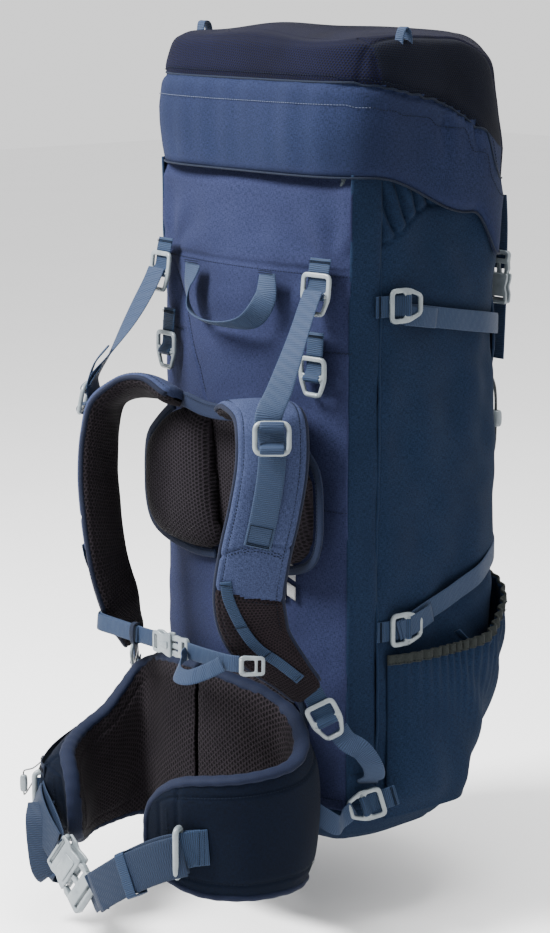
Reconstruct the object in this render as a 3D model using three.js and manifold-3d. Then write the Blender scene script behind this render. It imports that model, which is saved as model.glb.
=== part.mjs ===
// A travel backpack: panelled bag, hinged lid, sliding shoulder harness and a padded hip belt.
// Millimetres, +Z up. The wearer's side faces -Y and +X is on the right seen from there.
// The parts are drawn from the base plane (z = 0 under the bag); the whole group is then
// moved so that the origin is the point that the haul loop hangs from.
import * as THREE from "three";
import { mergeVertices } from "three/addons/utils/BufferGeometryUtils.js";
import Module from "manifold-3d";

const wasm = await Module();
wasm.setup();

// ---- driving dimensions ----
const GAP = 0.4; // clearance between touching pieces
const WALL = 5; // fabric panel with its padding
const BAG_TOP = 640; // upper edge of the sewn panels
const BASE_RIM = 45; // height at which the base panel starts
const BACK_HALF_WIDTH = 133;
const BACK_EDGE_Y = -125; // seam between back and side panels
const BACK_BULGE = 25; // the back stands out in its middle, less so near the top
const TOP_BULGE = 12;
const BACK_WALL = 6;
const UPPER_FLARE = 0.02; // the bag widens under the lid
const SIDE_START = 0.024; // stretch of the half outline that the side panel takes
const SIDE_END = 0.645;
const COLLAR_TOP = 684;
const WEBBING = 2; // webbing thickness
const WIDE_WEBBING = 25; // haul loop and load lifters
const SIDE_WEBBING = 20; // compression and adjuster straps
const BELT_WEBBING = 38;
const LID_HALF_WIDTH = 156;
const LID_BACK_Y = -137;
const LID_FRONT_Y = 117;
const LID_WALL = 4;
const LID_FLOOR_Z = 690;
const LID_SEAM_Z = 722;
const LID_TOP_Z = 776;
const STRAP_WIDTH = 62;
const STRAP_END_WIDTH = 32;
const STRAP_THICKNESS = 17;
const YOKE_BACK_Y = -151.5;
const YOKE_DEPTH = 30;
const BELT_CENTRE = { x: 15, y: -228 }; // plan ellipse of each wing
const BELT_RADIUS = { x: 140, y: 82 };
const BELT_THICKNESS = 15;
const LUMBAR_HALF_WIDTH = 92;
const HAUL_LOOP_POINT = new THREE.Vector3(0, -170, 504);
const SIDES = [
  { name: "left", sign: -1 },
  { name: "right", sign: 1 },
];

// ---- colours ----
const NAVY = { color: 0x2a3a5c, roughness: 0.85, metalness: 0 };
const DARK_NAVY = { color: 0x1c2a40, roughness: 0.85, metalness: 0 };
const CROWN = { color: 0x141a2e, roughness: 0.8, metalness: 0 };
const MESH = { color: 0x3a3335, roughness: 0.95, metalness: 0 };
const WEBBING_BLUE = { color: 0x3d5a80, roughness: 0.7, metalness: 0 };
const HARDWARE = { color: 0xc8d2d8, roughness: 0.35, metalness: 0.1 };
const LINING = { color: 0x6f7c88, roughness: 0.8, metalness: 0 };
const ALUMINIUM = { color: 0xb8bcc0, roughness: 0.4, metalness: 0.9 };
const BLACK = { color: 0x15171a, roughness: 0.7, metalness: 0 };

const pack = new THREE.Group();

function addPart(name, geometry, look, parent = pack) {
  const mesh = new THREE.Mesh(geometry, new THREE.MeshStandardMaterial(look));
  mesh.name = name;
  parent.add(mesh);
  return mesh;
}

// ---- small geometry helpers ----
const vec = (x, y, z) => new THREE.Vector3(x, y, z);
const lerp = THREE.MathUtils.lerp;

function smooth(from, to, value) {
  return THREE.MathUtils.smoothstep(value, from, to);
}

// A closed geometry from points and triangles, turned so that its faces point out.
function closedGeometry(points, triangles) {
  let volume = 0;
  for (const [a, b, c] of triangles) {
    volume += points[a].dot(points[b].clone().cross(points[c]));
  }
  const faces = volume < 0 ? triangles.map(([a, b, c]) => [a, c, b]) : triangles;
  const geometry = new THREE.BufferGeometry();
  geometry.setAttribute(
    "position",
    new THREE.Float32BufferAttribute(points.flatMap((p) => p.toArray()), 3),
  );
  geometry.setIndex(faces.flat());
  geometry.computeVertexNormals();
  return geometry;
}

// A thick sheet between an outer and an inner surface, both functions of u and v in 0..1.
function sheet(columns, rows, outer, inner) {
  const points = [];
  const triangles = [];
  const index = (side, i, j) => (side * (columns + 1) + i) * (rows + 1) + j;
  for (const surface of [outer, inner]) {
    for (let i = 0; i <= columns; i++) {
      for (let j = 0; j <= rows; j++) {
        points.push(surface(i / columns, j / rows));
      }
    }
  }
  const quad = (a, b, c, d) => triangles.push([a, b, c], [a, c, d]);
  for (let i = 0; i < columns; i++) {
    for (let j = 0; j < rows; j++) {
      quad(index(0, i, j), index(0, i + 1, j), index(0, i + 1, j + 1), index(0, i, j + 1));
      quad(index(1, i, j), index(1, i, j + 1), index(1, i + 1, j + 1), index(1, i + 1, j));
    }
    quad(index(0, i, 0), index(1, i, 0), index(1, i + 1, 0), index(0, i + 1, 0));
    quad(index(0, i, rows), index(0, i + 1, rows), index(1, i + 1, rows), index(1, i, rows));
  }
  for (let j = 0; j < rows; j++) {
    quad(index(0, 0, j), index(0, 0, j + 1), index(1, 0, j + 1), index(1, 0, j));
    quad(index(0, columns, j), index(1, columns, j), index(1, columns, j + 1), index(0, columns, j + 1));
  }
  return closedGeometry(points, triangles);
}

// Rings of points joined into a closed skin. A ring of one point closes an end.
function skin(rings, joinLastToFirst) {
  const points = rings.flat();
  const starts = [];
  let count = 0;
  for (const ring of rings) {
    starts.push(count);
    count += ring.length;
  }
  const triangles = [];
  const bands = joinLastToFirst ? rings.length : rings.length - 1;
  for (let r = 0; r < bands; r++) {
    const lower = rings[r];
    const next = (r + 1) % rings.length;
    const upper = rings[next];
    const size = Math.max(lower.length, upper.length);
    for (let i = 0; i < size; i++) {
      const k = (i + 1) % size;
      const a = starts[r] + (lower.length > 1 ? i : 0);
      const b = starts[r] + (lower.length > 1 ? k : 0);
      const c = starts[next] + (upper.length > 1 ? k : 0);
      const d = starts[next] + (upper.length > 1 ? i : 0);
      if (a !== b) triangles.push([a, b, c]);
      if (c !== d) triangles.push([a, c, d]);
    }
  }
  return closedGeometry(points, triangles);
}

// A flat strap along points. Each width direction is square to the path, and across and
// width are either one value or a list with one for each point.
function ribbon(path, across, width, thickness) {
  const rings = path.map((point, i) => {
    const before = path[Math.max(i - 1, 0)];
    const after = path[Math.min(i + 1, path.length - 1)];
    const tangent = after.clone().sub(before).normalize();
    const wide = (Array.isArray(across) ? across[i] : across).clone();
    wide.addScaledVector(tangent, -wide.dot(tangent)).normalize();
    const thick = tangent.clone().cross(wide).normalize();
    const halfWidth = (Array.isArray(width) ? width[i] : width) / 2;
    const corner = (w, t) =>
      point.clone().addScaledVector(wide, w * halfWidth).addScaledVector(thick, (t * thickness) / 2);
    return [corner(-1, -1), corner(1, -1), corner(1, 1), corner(-1, 1)];
  });
  return skin([[path[0]], ...rings, [path[path.length - 1]]], false);
}

function smoothPath(points, steps) {
  return new THREE.CatmullRomCurve3(points, false, "centripetal").getPoints(steps);
}

function manifoldOf(geometry) {
  const bare = geometry.clone();
  bare.deleteAttribute("normal");
  bare.deleteAttribute("uv");
  const merged = mergeVertices(bare, 1e-4);
  return new wasm.Manifold(
    new wasm.Mesh({
      numProp: 3,
      vertProperties: merged.attributes.position.array,
      triVerts: new Uint32Array(merged.index.array),
    }),
  );
}

function geometryOf(manifold) {
  const mesh = manifold.getMesh();
  const geometry = new THREE.BufferGeometry();
  geometry.setAttribute("position", new THREE.BufferAttribute(mesh.vertProperties, 3));
  geometry.setIndex(new THREE.BufferAttribute(mesh.triVerts, 1));
  return geometry;
}

function block(width, depth, height, x, y, z) {
  return new THREE.BoxGeometry(width, depth, height).translate(x, y, z);
}

function plate(outline, thickness) {
  return new THREE.ExtrudeGeometry(outline, { depth: thickness, bevelEnabled: false });
}

// ---- the bag's plan outline ----
// Right half, from the back seam to the middle of the front.
const halfOutline = new THREE.CatmullRomCurve3([
  vec(133, -125, 0),
  vec(140, -85, 0),
  vec(143, -20, 0),
  vec(139, 45, 0),
  vec(115, 86, 0),
  vec(65, 104, 0),
  vec(0, 110, 0),
]);

// A point on the bag's side or front, moved in by inset (out when negative).
function bagPoint(sign, stretch, z, inset) {
  const p = halfOutline.getPointAt(stretch);
  const t = halfOutline.getTangentAt(stretch);
  const flare = 1 + UPPER_FLARE * smooth(520, 600, z);
  const x = (p.x - t.y * inset) * flare;
  return vec(sign * x, p.y + t.x * inset, z);
}

function backPoint(u, z, inset) {
  const x = BACK_HALF_WIDTH * u;
  const bulge = lerp(BACK_BULGE, TOP_BULGE, smooth(480, BAG_TOP, z));
  return vec(x, BACK_EDGE_Y - bulge * (1 - u * u) + inset, z);
}

// All round the bag at one height, shrunk towards the middle of its back half.
const SHRINK_CENTRE_Y = -70;
function bagRing(z, inset, scaleX, scaleY) {
  const ring = [];
  const edge = 1 - inset / BACK_HALF_WIDTH;
  for (let i = 0; i < 8; i++) {
    ring.push(backPoint(lerp(-edge, edge, i / 8), z, inset));
  }
  for (let i = 0; i < 11; i++) {
    ring.push(bagPoint(1, lerp(SIDE_START, 1, i / 11), z, inset));
  }
  for (let i = 0; i < 11; i++) {
    ring.push(bagPoint(-1, lerp(1, SIDE_START, i / 11), z, inset));
  }
  return ring.map((p) =>
    vec(p.x * scaleX, SHRINK_CENTRE_Y + (p.y - SHRINK_CENTRE_Y) * scaleY, p.z),
  );
}

// ---- bag panels ----
function makeBag() {
  const height = (v) => lerp(BASE_RIM + GAP, BAG_TOP, v);
  addPart(
    "back_panel",
    sheet(
      8,
      6,
      (u, v) => backPoint(2 * u - 1, height(v), 0),
      (u, v) => backPoint((2 * u - 1) * 0.995, height(v), BACK_WALL),
    ),
    NAVY,
  );
  for (const { name, sign } of SIDES) {
    const along = (u) => lerp(SIDE_START, SIDE_END, u);
    addPart(
      name + "_side_panel",
      sheet(
        9,
        6,
        (u, v) => bagPoint(sign, along(u), height(v), 0),
        (u, v) => bagPoint(sign, along(u), height(v), WALL),
      ),
      DARK_NAVY,
    );
  }
  const frontAlong = (u) => lerp(1, SIDE_END + 0.003, Math.abs(2 * u - 1));
  const frontSurface = (inset) => (u, v) =>
    bagPoint(u < 0.5 ? -1 : 1, frontAlong(u), height(v), inset);
  addPart("front_panel", sheet(10, 6, frontSurface(0), frontSurface(WALL)), DARK_NAVY);

  // The base is a shallow bowl: height, sideways shrink, front-to-back shrink.
  const rows = [
    [BASE_RIM, 1, 1],
    [20, 0.93, 0.87],
    [8, 0.85, 0.72],
    [0, 0.68, 0.54],
  ];
  const outer = rows.map(([z, sx, sy]) => bagRing(z, 0, sx, sy));
  const inner = rows.map(([z, sx, sy], i) => bagRing(i ? z + WALL : z, WALL, sx, sy));
  addPart(
    "base_panel",
    skin(
      [
        [vec(0, SHRINK_CENTRE_Y + 30, 0)],
        ...outer.reverse(),
        ...inner,
        [vec(0, SHRINK_CENTRE_Y + 30, WALL)],
      ],
      false,
    ),
    DARK_NAVY,
  );

  // Thin drawstring collar inside the panels, narrower towards its mouth.
  const collarRows = [
    [604, 1, 1],
    [BAG_TOP + 4, 0.98, 0.98],
    [COLLAR_TOP, 0.9, 0.93],
  ];
  const inset = BACK_WALL + 2;
  const collarOut = collarRows.map(([z, sx, sy]) => bagRing(z, inset, sx, sy));
  const collarIn = collarRows.map(([z, sx, sy]) => bagRing(z, inset + 2.5, sx, sy));
  addPart("snow_collar", skin([...collarOut, ...collarIn.reverse()], true), LINING);

  // One bent aluminium bar stiffens the back from inside.
  const stay = smoothPath(
    [
      vec(-62, -127, 60),
      vec(-62, -127, 320),
      vec(-62, -127, 560),
      vec(-48, -127, 585),
      vec(0, -127, 592),
      vec(48, -127, 585),
      vec(62, -127, 560),
      vec(62, -127, 320),
      vec(62, -127, 60),
    ],
    26,
  );
  addPart("frame_stay", ribbon(stay, vec(0, 1, 0), 3, 12), ALUMINIUM);
}

// ---- pockets ----
function rimHeight(u) {
  return 192 + 8 * u + 38 * smooth(0.55, 1, u);
}

function makePockets() {
  const wall = 3.5;
  for (const { name, sign } of SIDES) {
    const along = (u) => lerp(0.13, 0.72, u);
    const height = (u, v) => lerp(30, rimHeight(u), v);
    const stand = (u, v) => 22 * Math.sin(Math.PI * u) ** 0.7 * Math.sin(Math.PI * (0.04 + 0.62 * v));
    const surface = (extra) => (u, v) =>
      bagPoint(sign, along(u), height(u, v), -(GAP + extra + stand(u, v)));
    addPart(name + "_side_pocket", sheet(10, 6, surface(wall), surface(0)), DARK_NAVY);
  }
  const along = (u) => lerp(1, 0.79, Math.abs(2 * u - 1));
  const stand = (u, v) => 20 * Math.sin(Math.PI * u) ** 0.6 * Math.sin(Math.PI * (0.04 + 0.62 * v));
  const surface = (extra) => (u, v) =>
    bagPoint(u < 0.5 ? -1 : 1, along(u), lerp(62, 410, v), -(GAP + extra + stand(u, v)));
  addPart("front_pocket", sheet(8, 6, surface(wall), surface(0)), DARK_NAVY);
}

// ---- compression straps on the bag's sides ----
function makeCompressionStraps() {
  const clear = 2;
  const runs = [
    { level: "upper", from: 0.2, to: 0.74, z: (u) => lerp(520, 487, u) },
    { level: "lower", from: 0.2, to: 0.7, z: (u) => lerp(216, 276, u) },
  ];
  for (const { name, sign } of SIDES) {
    for (const { level, from, to, z } of runs) {
      const surface = (offset) => (u, v) =>
        bagPoint(sign, lerp(from, to, u), z(u) + (v - 0.5) * SIDE_WEBBING, -offset);
      addPart(
        name + "_" + level + "_compression_strap",
        sheet(14, 2, surface(clear + WEBBING), surface(clear)),
        WEBBING_BLUE,
      );
    }
  }
}

// ---- buckles ----
function cutWindow(outline, left, right, low, high) {
  const hole = new THREE.Path();
  hole.moveTo(left, low);
  hole.lineTo(right, low);
  hole.lineTo(right, high);
  hole.lineTo(left, high);
  outline.holes.push(hole);
}

function chamferedOutline(width, height, upper, lower) {
  const w = width / 2;
  const h = height / 2;
  const outline = new THREE.Shape();
  outline.moveTo(-w, h - upper);
  outline.lineTo(-w + upper, h);
  outline.lineTo(w - upper, h);
  outline.lineTo(w, h - upper);
  outline.lineTo(w, -h + lower);
  outline.lineTo(w - lower, -h);
  outline.lineTo(-w + lower, -h);
  outline.lineTo(-w, -h + lower);
  return outline;
}

// Ladder lock: a frame with two windows, more strongly chamfered at its lower end.
function ladderLock(width, height, thickness) {
  const w = width / 2;
  const h = height / 2;
  const outline = chamferedOutline(width, height, 4, 9);
  cutWindow(outline, -w + 5, w - 5, 1, h - 6);
  cutWindow(outline, -w + 7, w - 7, -h + 6, -4);
  return plate(outline, thickness);
}

// A plain frame with one window.
function frameRing(width, height, bar, thickness) {
  const outline = chamferedOutline(width, height, 3, 3);
  cutWindow(outline, -width / 2 + bar, width / 2 - bar, -height / 2 + bar, height / 2 - bar);
  return plate(outline, thickness);
}

// Places a flat fitting: its face looks along facing, its upper end points along up.
function placeFlat(mesh, position, facing, up) {
  const z = facing.clone().normalize();
  const y = up.clone().addScaledVector(z, -up.dot(z)).normalize();
  const x = y.clone().cross(z);
  mesh.quaternion.setFromRotationMatrix(new THREE.Matrix4().makeBasis(x, y, z));
  mesh.position.copy(position);
}

function makeLadderLocks() {
  for (const { name, sign } of SIDES) {
    const fittings = [
      ["lid_stabilizer_buckle", vec(107, -143.5, 464), vec(0.1, -1, 0), vec(0, 0, 1), 33, 38],
      ["lifter_buckle", vec(113, -146, 541), vec(0.12, -1, 0.1), vec(0, 0, 1), 35, 40],
      ["upper_compression_buckle", vec(149, -68, 528), vec(1, -0.1, 0), vec(0, -1, 0), 33, 38],
      ["lower_compression_buckle", vec(146, -60, 217), vec(1, -0.1, 0), vec(0, -1, 0), 33, 38],
      ["stabilizer_buckle", vec(147, -112, 52), vec(0.8, -0.6, 0), vec(0.5, 0.7, 0.25), 31, 36],
    ];
    for (const [part, at, facing, up, width, height] of fittings) {
      const mesh = addPart(name + "_" + part, ladderLock(width, height, 3.5), HARDWARE);
      placeFlat(
        mesh,
        vec(sign * at.x, at.y, at.z),
        vec(sign * facing.x, facing.y, facing.z),
        vec(sign * up.x, up.y, up.z),
      );
    }
  }
}

// ---- haul loop ----
const LOOP_ROLL = 1.22; // the webbing lies flat on the back at its ends and faces down between
function makeHaulLoop() {
  const path = smoothPath(
    [
      vec(-54, -154, 555),
      vec(-56, -159, 532),
      vec(-42, -166, 511),
      vec(0, -170, 504),
      vec(42, -166, 511),
      vec(56, -159, 532),
      vec(54, -154, 555),
    ],
    24,
  );
  const last = path.length - 1;
  const across = path.map((_, i) => {
    const before = path[Math.max(i - 1, 0)];
    const after = path[Math.min(i + 1, last)];
    const flat = after.clone().sub(before).cross(vec(0, 1, 0)).normalize();
    const roll = LOOP_ROLL * Math.sin((Math.PI * i) / last);
    return flat.multiplyScalar(Math.cos(roll)).add(vec(0, -Math.sin(roll), 0));
  });
  addPart("haul_loop", ribbon(path, across, WIDE_WEBBING - 3, WEBBING), WEBBING_BLUE);
}

// ---- lid ----
function lidBottom(y) {
  return 649 - 40 * smooth(-110, 10, y) - 45 * smooth(15, 65, y);
}

function lidTop(y) {
  return LID_TOP_Z - 34 * smooth(-10, LID_FRONT_Y, y);
}

// The lid's plan is a rounded rectangle; level 0 is the lower edge and 1 the crown.
function lidRing(shrink, heightOf) {
  const steps = 32;
  const power = 2 / 4.5;
  const midY = (LID_BACK_Y + LID_FRONT_Y) / 2;
  const halfDepth = (LID_FRONT_Y - LID_BACK_Y) / 2;
  return Array.from({ length: steps }, (_, i) => {
    const angle = (2 * Math.PI * i) / steps;
    const c = Math.cos(angle);
    const s = Math.sin(angle);
    const x = (LID_HALF_WIDTH - shrink) * Math.sign(c) * Math.abs(c) ** power;
    const y = midY + (halfDepth - shrink) * Math.sign(s) * Math.abs(s) ** power;
    return vec(x, y, heightOf(y));
  });
}

function makeLid() {
  const lid = new THREE.Group();
  pack.add(lid);
  const seam = (y) => LID_SEAM_Z - 20 * smooth(20, LID_FRONT_Y, y);
  const rows = (extra, drop) => [
    lidRing(2 + extra, (y) => lidBottom(y)),
    lidRing(extra, (y) => lerp(lidBottom(y), seam(y), 0.6)),
    lidRing(3 + extra, seam),
    lidRing(8 + extra, (y) => lerp(seam(y), lidTop(y), 0.65) - drop),
    lidRing(18 + extra, (y) => lerp(seam(y), lidTop(y), 0.92) - drop),
    lidRing(40 + extra, (y) => lidTop(y) - drop),
  ];
  const outside = rows(0, 0);
  const inside = rows(LID_WALL, LID_WALL);
  const cap = skin(
    [
      [vec(0, 0, lidTop(0))],
      ...outside.reverse(),
      ...inside,
      [vec(0, 0, lidTop(0) - LID_WALL)],
    ],
    false,
  );
  const floorOutline = new THREE.Shape(lidRing(LID_WALL / 2, () => 0).map((p) => new THREE.Vector2(p.x, p.y)));
  const floor = plate(floorOutline, LID_WALL).translate(0, 0, LID_FLOOR_Z);
  const zipSlit = block(170, 40, 9, 0, LID_FRONT_Y, LID_SEAM_Z - 8);
  let solid = manifoldOf(cap).add(manifoldOf(floor)).subtract(manifoldOf(zipSlit));
  for (const sign of [-1, 1]) {
    const tab = block(9, 12, 14, sign * 141, -66, 772);
    solid = solid.add(manifoldOf(tab));
  }
  addPart("lid", geometryOf(solid), CROWN, lid);
  addPart("lid_zip_pull", block(5, 3, 22, 64, LID_FRONT_Y + 4, 706), HARDWARE, lid);
  for (const { name, sign } of SIDES) {
    const x = sign * 88;
    const strap = manifoldOf(block(SIDE_WEBBING, WEBBING, 60, x, 121.5, 584));
    const plug = manifoldOf(block(28, 8, 22, x, 121.5, 548));
    addPart(name + "_lid_strap", geometryOf(strap.add(plug)), WEBBING_BLUE, lid);
    const socket = manifoldOf(block(28, 8, 30, x, 121.5, 521.5));
    const tail = manifoldOf(block(SIDE_WEBBING, WEBBING, 60, x, 121.5, 480));
    addPart(name + "_lid_socket", geometryOf(socket.add(tail)), HARDWARE);
  }
}

// ---- front cord ----
function makeGearCord() {
  // A loop sewn to the front panel at both ends, with a sliding lock at its middle.
  const x = 88;
  const route = [vec(x, 103, 446), vec(x, 117, 425), vec(x, 120, 390), vec(x, 117, 355), vec(x, 103, 335)];
  const circle = new THREE.Shape().absarc(0, 0, 1.5, 0, 2 * Math.PI);
  const cord = new THREE.ExtrudeGeometry(circle, {
    steps: 14,
    curveSegments: 4,
    extrudePath: new THREE.CatmullRomCurve3(route, false, "centripetal"),
  });
  addPart("gear_cord", cord, BLACK);
  const profile = [
    [2.6, -8],
    [6, -8],
    [7, 0],
    [6, 8],
    [2.6, 8],
    [2.6, -8],
  ].map(([r, z]) => new THREE.Vector2(r, z));
  const lock = new THREE.LatheGeometry(profile, 10).rotateX(Math.PI / 2).translate(x, 120, 390);
  addPart("gear_cord_lock", lock, HARDWARE);
}

// ---- harness ----
const STRAP_ROUTE = [
  vec(48, -178, 441),
  vec(74, -184, 452),
  vec(102, -194, 449),
  vec(122, -208, 430),
  vec(127, -214, 395),
  vec(124, -219, 350),
  vec(114, -223, 305),
  vec(106, -222, 262),
  vec(106, -210, 226),
  vec(122, -186, 192),
  vec(133, -169, 170),
];

function mirrored(points, sign) {
  return points.map((p) => vec(sign * p.x, p.y, p.z));
}

function makeHarness() {
  const harness = new THREE.Group();
  pack.add(harness);
  for (const { name, sign } of SIDES) {
    const outward = vec(sign * 0.735, -0.646, 0);
    const across = vec(sign * 0.66, 0.75, 0);
    const route = new THREE.CatmullRomCurve3(mirrored(STRAP_ROUTE, sign), false, "centripetal");
    const steps = 24;
    const widths = Array.from({ length: steps + 1 }, (_, i) =>
      lerp(STRAP_WIDTH, STRAP_END_WIDTH, smooth(0.72, 1, i / steps)),
    );
    addPart(
      name + "_shoulder_strap",
      ribbon(route.getPoints(steps), across, widths, STRAP_THICKNESS),
      NAVY,
      harness,
    );

    const lobe = new THREE.Shape();
    lobe.moveTo(2, 424);
    lobe.lineTo(50, 424);
    lobe.quadraticCurveTo(84, 416, 94, 400);
    lobe.quadraticCurveTo(127, 386, 127, 355);
    lobe.lineTo(127, 315);
    lobe.quadraticCurveTo(124, 287, 96, 281);
    lobe.quadraticCurveTo(50, 271, 2, 275);
    const pad = plate(lobe, YOKE_DEPTH).rotateX(Math.PI / 2).translate(0, YOKE_BACK_Y, 0);
    if (sign < 0) pad.rotateZ(Math.PI).translate(0, 2 * YOKE_BACK_Y - YOKE_DEPTH, 0);
    addPart(name + "_yoke_pad", pad, MESH, harness);

    // The lifter runs from the bag down to the strap and is sewn along its face.
    const face = STRAP_THICKNESS / 2 + WEBBING;
    const lifter = [vec(sign * 114, -157, 540), vec(sign * 121, -188, 486), vec(sign * 130, -222, 440)];
    for (const z of [400, 360, 318]) {
      const on = pointAtHeight(route, z);
      lifter.push(on.addScaledVector(outward, face));
    }
    addPart(
      name + "_lifter_webbing",
      ribbon(smoothPath(lifter, 12), across, WIDE_WEBBING, WEBBING),
      WEBBING_BLUE,
      harness,
    );
    const ring = frameRing(35, 32, 4.5, 3.5);
    const ringMesh = addPart(name + "_lifter_ring", ring, HARDWARE, harness);
    const ringAt = pointAtHeight(route, 420).addScaledVector(outward, face + 7);
    placeFlat(ringMesh, ringAt, vec(outward.x, outward.y, 0.2), vec(0, 0, 1));

    const adjuster = addPart(name + "_strap_adjuster", ladderLock(31, 38, 3.5), HARDWARE, harness);
    placeFlat(adjuster, vec(sign * 144, -158, 145), outward, vec(sign * -0.3, -0.35, 0.9));
  }
}

function pointAtHeight(curve, z) {
  const points = curve.getPoints(200).slice(40);
  return points.reduce((best, p) => (Math.abs(p.z - z) < Math.abs(best.z - z) ? p : best)).clone();
}

// ---- sternum strap ----
function makeSternumStrap() {
  const z = 207;
  const y = -241;
  for (const { name, sign } of SIDES) {
    const slider = frameRing(24, 20, 4, 3.5);
    const mesh = addPart(name + "_sternum_slider", slider, HARDWARE);
    placeFlat(mesh, vec(sign * 116, -227, 206), vec(sign * 0.735, -0.646, 0), vec(0, 0, 1));
  }
  // Each half is its webbing with one half of the side-release buckle at its end.
  const halves = [
    { name: "left", from: -104, bend: -56, to: -4, buckle: block(27, 8, 24, 5, y, z) },
    { name: "right", from: 104, bend: 72, to: 34, buckle: block(21, 7, 22, 29.4, y, z) },
  ];
  for (const { name, from, bend, to, buckle } of halves) {
    const path = [vec(from, y + 2, z), vec(bend, y, z), vec(to, y, z)];
    const webbing = ribbon(path, vec(0, 0, 1), 18, 4);
    const half = manifoldOf(webbing).add(manifoldOf(buckle));
    addPart(name + "_sternum_half", geometryOf(half), HARDWARE);
  }
}

// ---- hip belt ----
function beltPoint(sign, angle, inset, z) {
  const x = BELT_CENTRE.x + (BELT_RADIUS.x - inset) * Math.cos(angle);
  const y = BELT_CENTRE.y + (BELT_RADIUS.y - inset) * Math.sin(angle);
  return vec(sign * x, y, z);
}

function makeHipBelt() {
  const lumbarTop = (u) => 174 - 16 * Math.abs(2 * u - 1) ** 3;
  const across = (u) => ((2 * u - 1) * LUMBAR_HALF_WIDTH) / BACK_HALF_WIDTH;
  addPart(
    "lumbar_pad",
    sheet(
      8,
      5,
      (u, v) => vec((2 * u - 1) * LUMBAR_HALF_WIDTH, -196 + 17 * (2 * u - 1) ** 2, lerp(4, lumbarTop(u), v)),
      (u, v) => backPoint(across(u), lerp(4, lumbarTop(u), v), -GAP),
    ),
    MESH,
  );
  const first = THREE.MathUtils.degToRad(50);
  const last = THREE.MathUtils.degToRad(-74);
  for (const { name, sign } of SIDES) {
    const top = (u) => lerp(156, 106, smooth(0, 0.5, u)) - 14 * smooth(0.6, 1, u) - 16 * smooth(0.92, 1, u);
    const low = (u) => -4 + 10 * (1 - smooth(0, 0.25, u)) + 12 * smooth(0.6, 1, u) + 14 * smooth(0.92, 1, u);
    // The left wing carries a flat zipped pocket on its outside.
    const pocket = (u, v) => (sign < 0 ? 9 * smooth(0.3, 0.42, u) * smooth(0.88, 0.78, u) * Math.sin(Math.PI * v) : 0);
    addPart(
      name + "_hip_wing",
      sheet(
        14,
        4,
        (u, v) => beltPoint(sign, lerp(first, last, u), -pocket(u, v), lerp(low(u), top(u), v)),
        (u, v) => beltPoint(sign, lerp(first, last, u), BELT_THICKNESS, lerp(low(u), top(u), v)),
      ),
      NAVY,
    );
    const ring = frameRing(52, 17, 4.5, 4);
    const ringMesh = addPart(name + "_belt_ring", ring, HARDWARE);
    placeFlat(ringMesh, vec(sign * 104, -309, 42), vec(sign * 0.86, 0.5, 0), vec(sign * 0.5, -0.86, 0));
  }
  const upright = vec(0.3, 0, 1);
  addPart(
    "left_belt_webbing",
    ribbon([vec(-95, -318, 37), vec(-78, -325, 27), vec(-52, -333, 14)], upright, BELT_WEBBING, 5),
    WEBBING_BLUE,
  );
  addPart(
    "right_belt_webbing",
    ribbon([vec(93, -320, 32), vec(62, -331, 8), vec(29, -342, -24)], upright, BELT_WEBBING, 8),
    WEBBING_BLUE,
  );
  const along = vec(0.8, -0.12, -0.58).normalize();
  const halves = [
    ["belt_socket", 34, vec(-31, -333, 1)],
    ["belt_plug", 30, vec(-31, -333, 1).addScaledVector(along, 34 / 2 + 30 / 2 + GAP)],
  ];
  for (const [name, length, at] of halves) {
    const mesh = addPart(name, new THREE.BoxGeometry(44, length, 11), HARDWARE);
    placeFlat(mesh, at, vec(0, -1, 0.1), along);
  }
  addPart("belt_zip_pull", block(7, 6, 26, -156, -293, 37), HARDWARE);
}

// ---- webbing between the bag and the harness or belt ----
function makeAnchorWebbing() {
  for (const { name, sign } of SIDES) {
    const adjuster = [
      vec(155, -147, 125),
      vec(167, -137, 118),
      vec(172, -127, 102),
      vec(163, -116, 86),
      vec(148, -110, 77),
    ];
    addPart(
      name + "_adjuster_webbing",
      ribbon(smoothPath(mirrored(adjuster, sign), 10), vec(sign * 0.66, 0.75, 0), SIDE_WEBBING, WEBBING),
      WEBBING_BLUE,
    );
  }
}

makeBag();
makePockets();
makeCompressionStraps();
makeLadderLocks();
makeHaulLoop();
makeLid();
makeGearCord();
makeHarness();
makeSternumStrap();
makeHipBelt();
makeAnchorWebbing();

const group = new THREE.Group();
group.add(pack);
pack.position.copy(HAUL_LOOP_POINT).negate();

export default group;
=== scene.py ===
# A trekking pack in fabric, spacer mesh, webbing and moulded fittings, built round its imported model.
# Shapes are worked out in "pack millimetres": x to the right, y away from the wearer and z up
# from the bag's base. place() turns them into the frame's metres.
import math

import bmesh
import bpy
import numpy as np
from mathutils import Matrix, Vector


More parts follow.
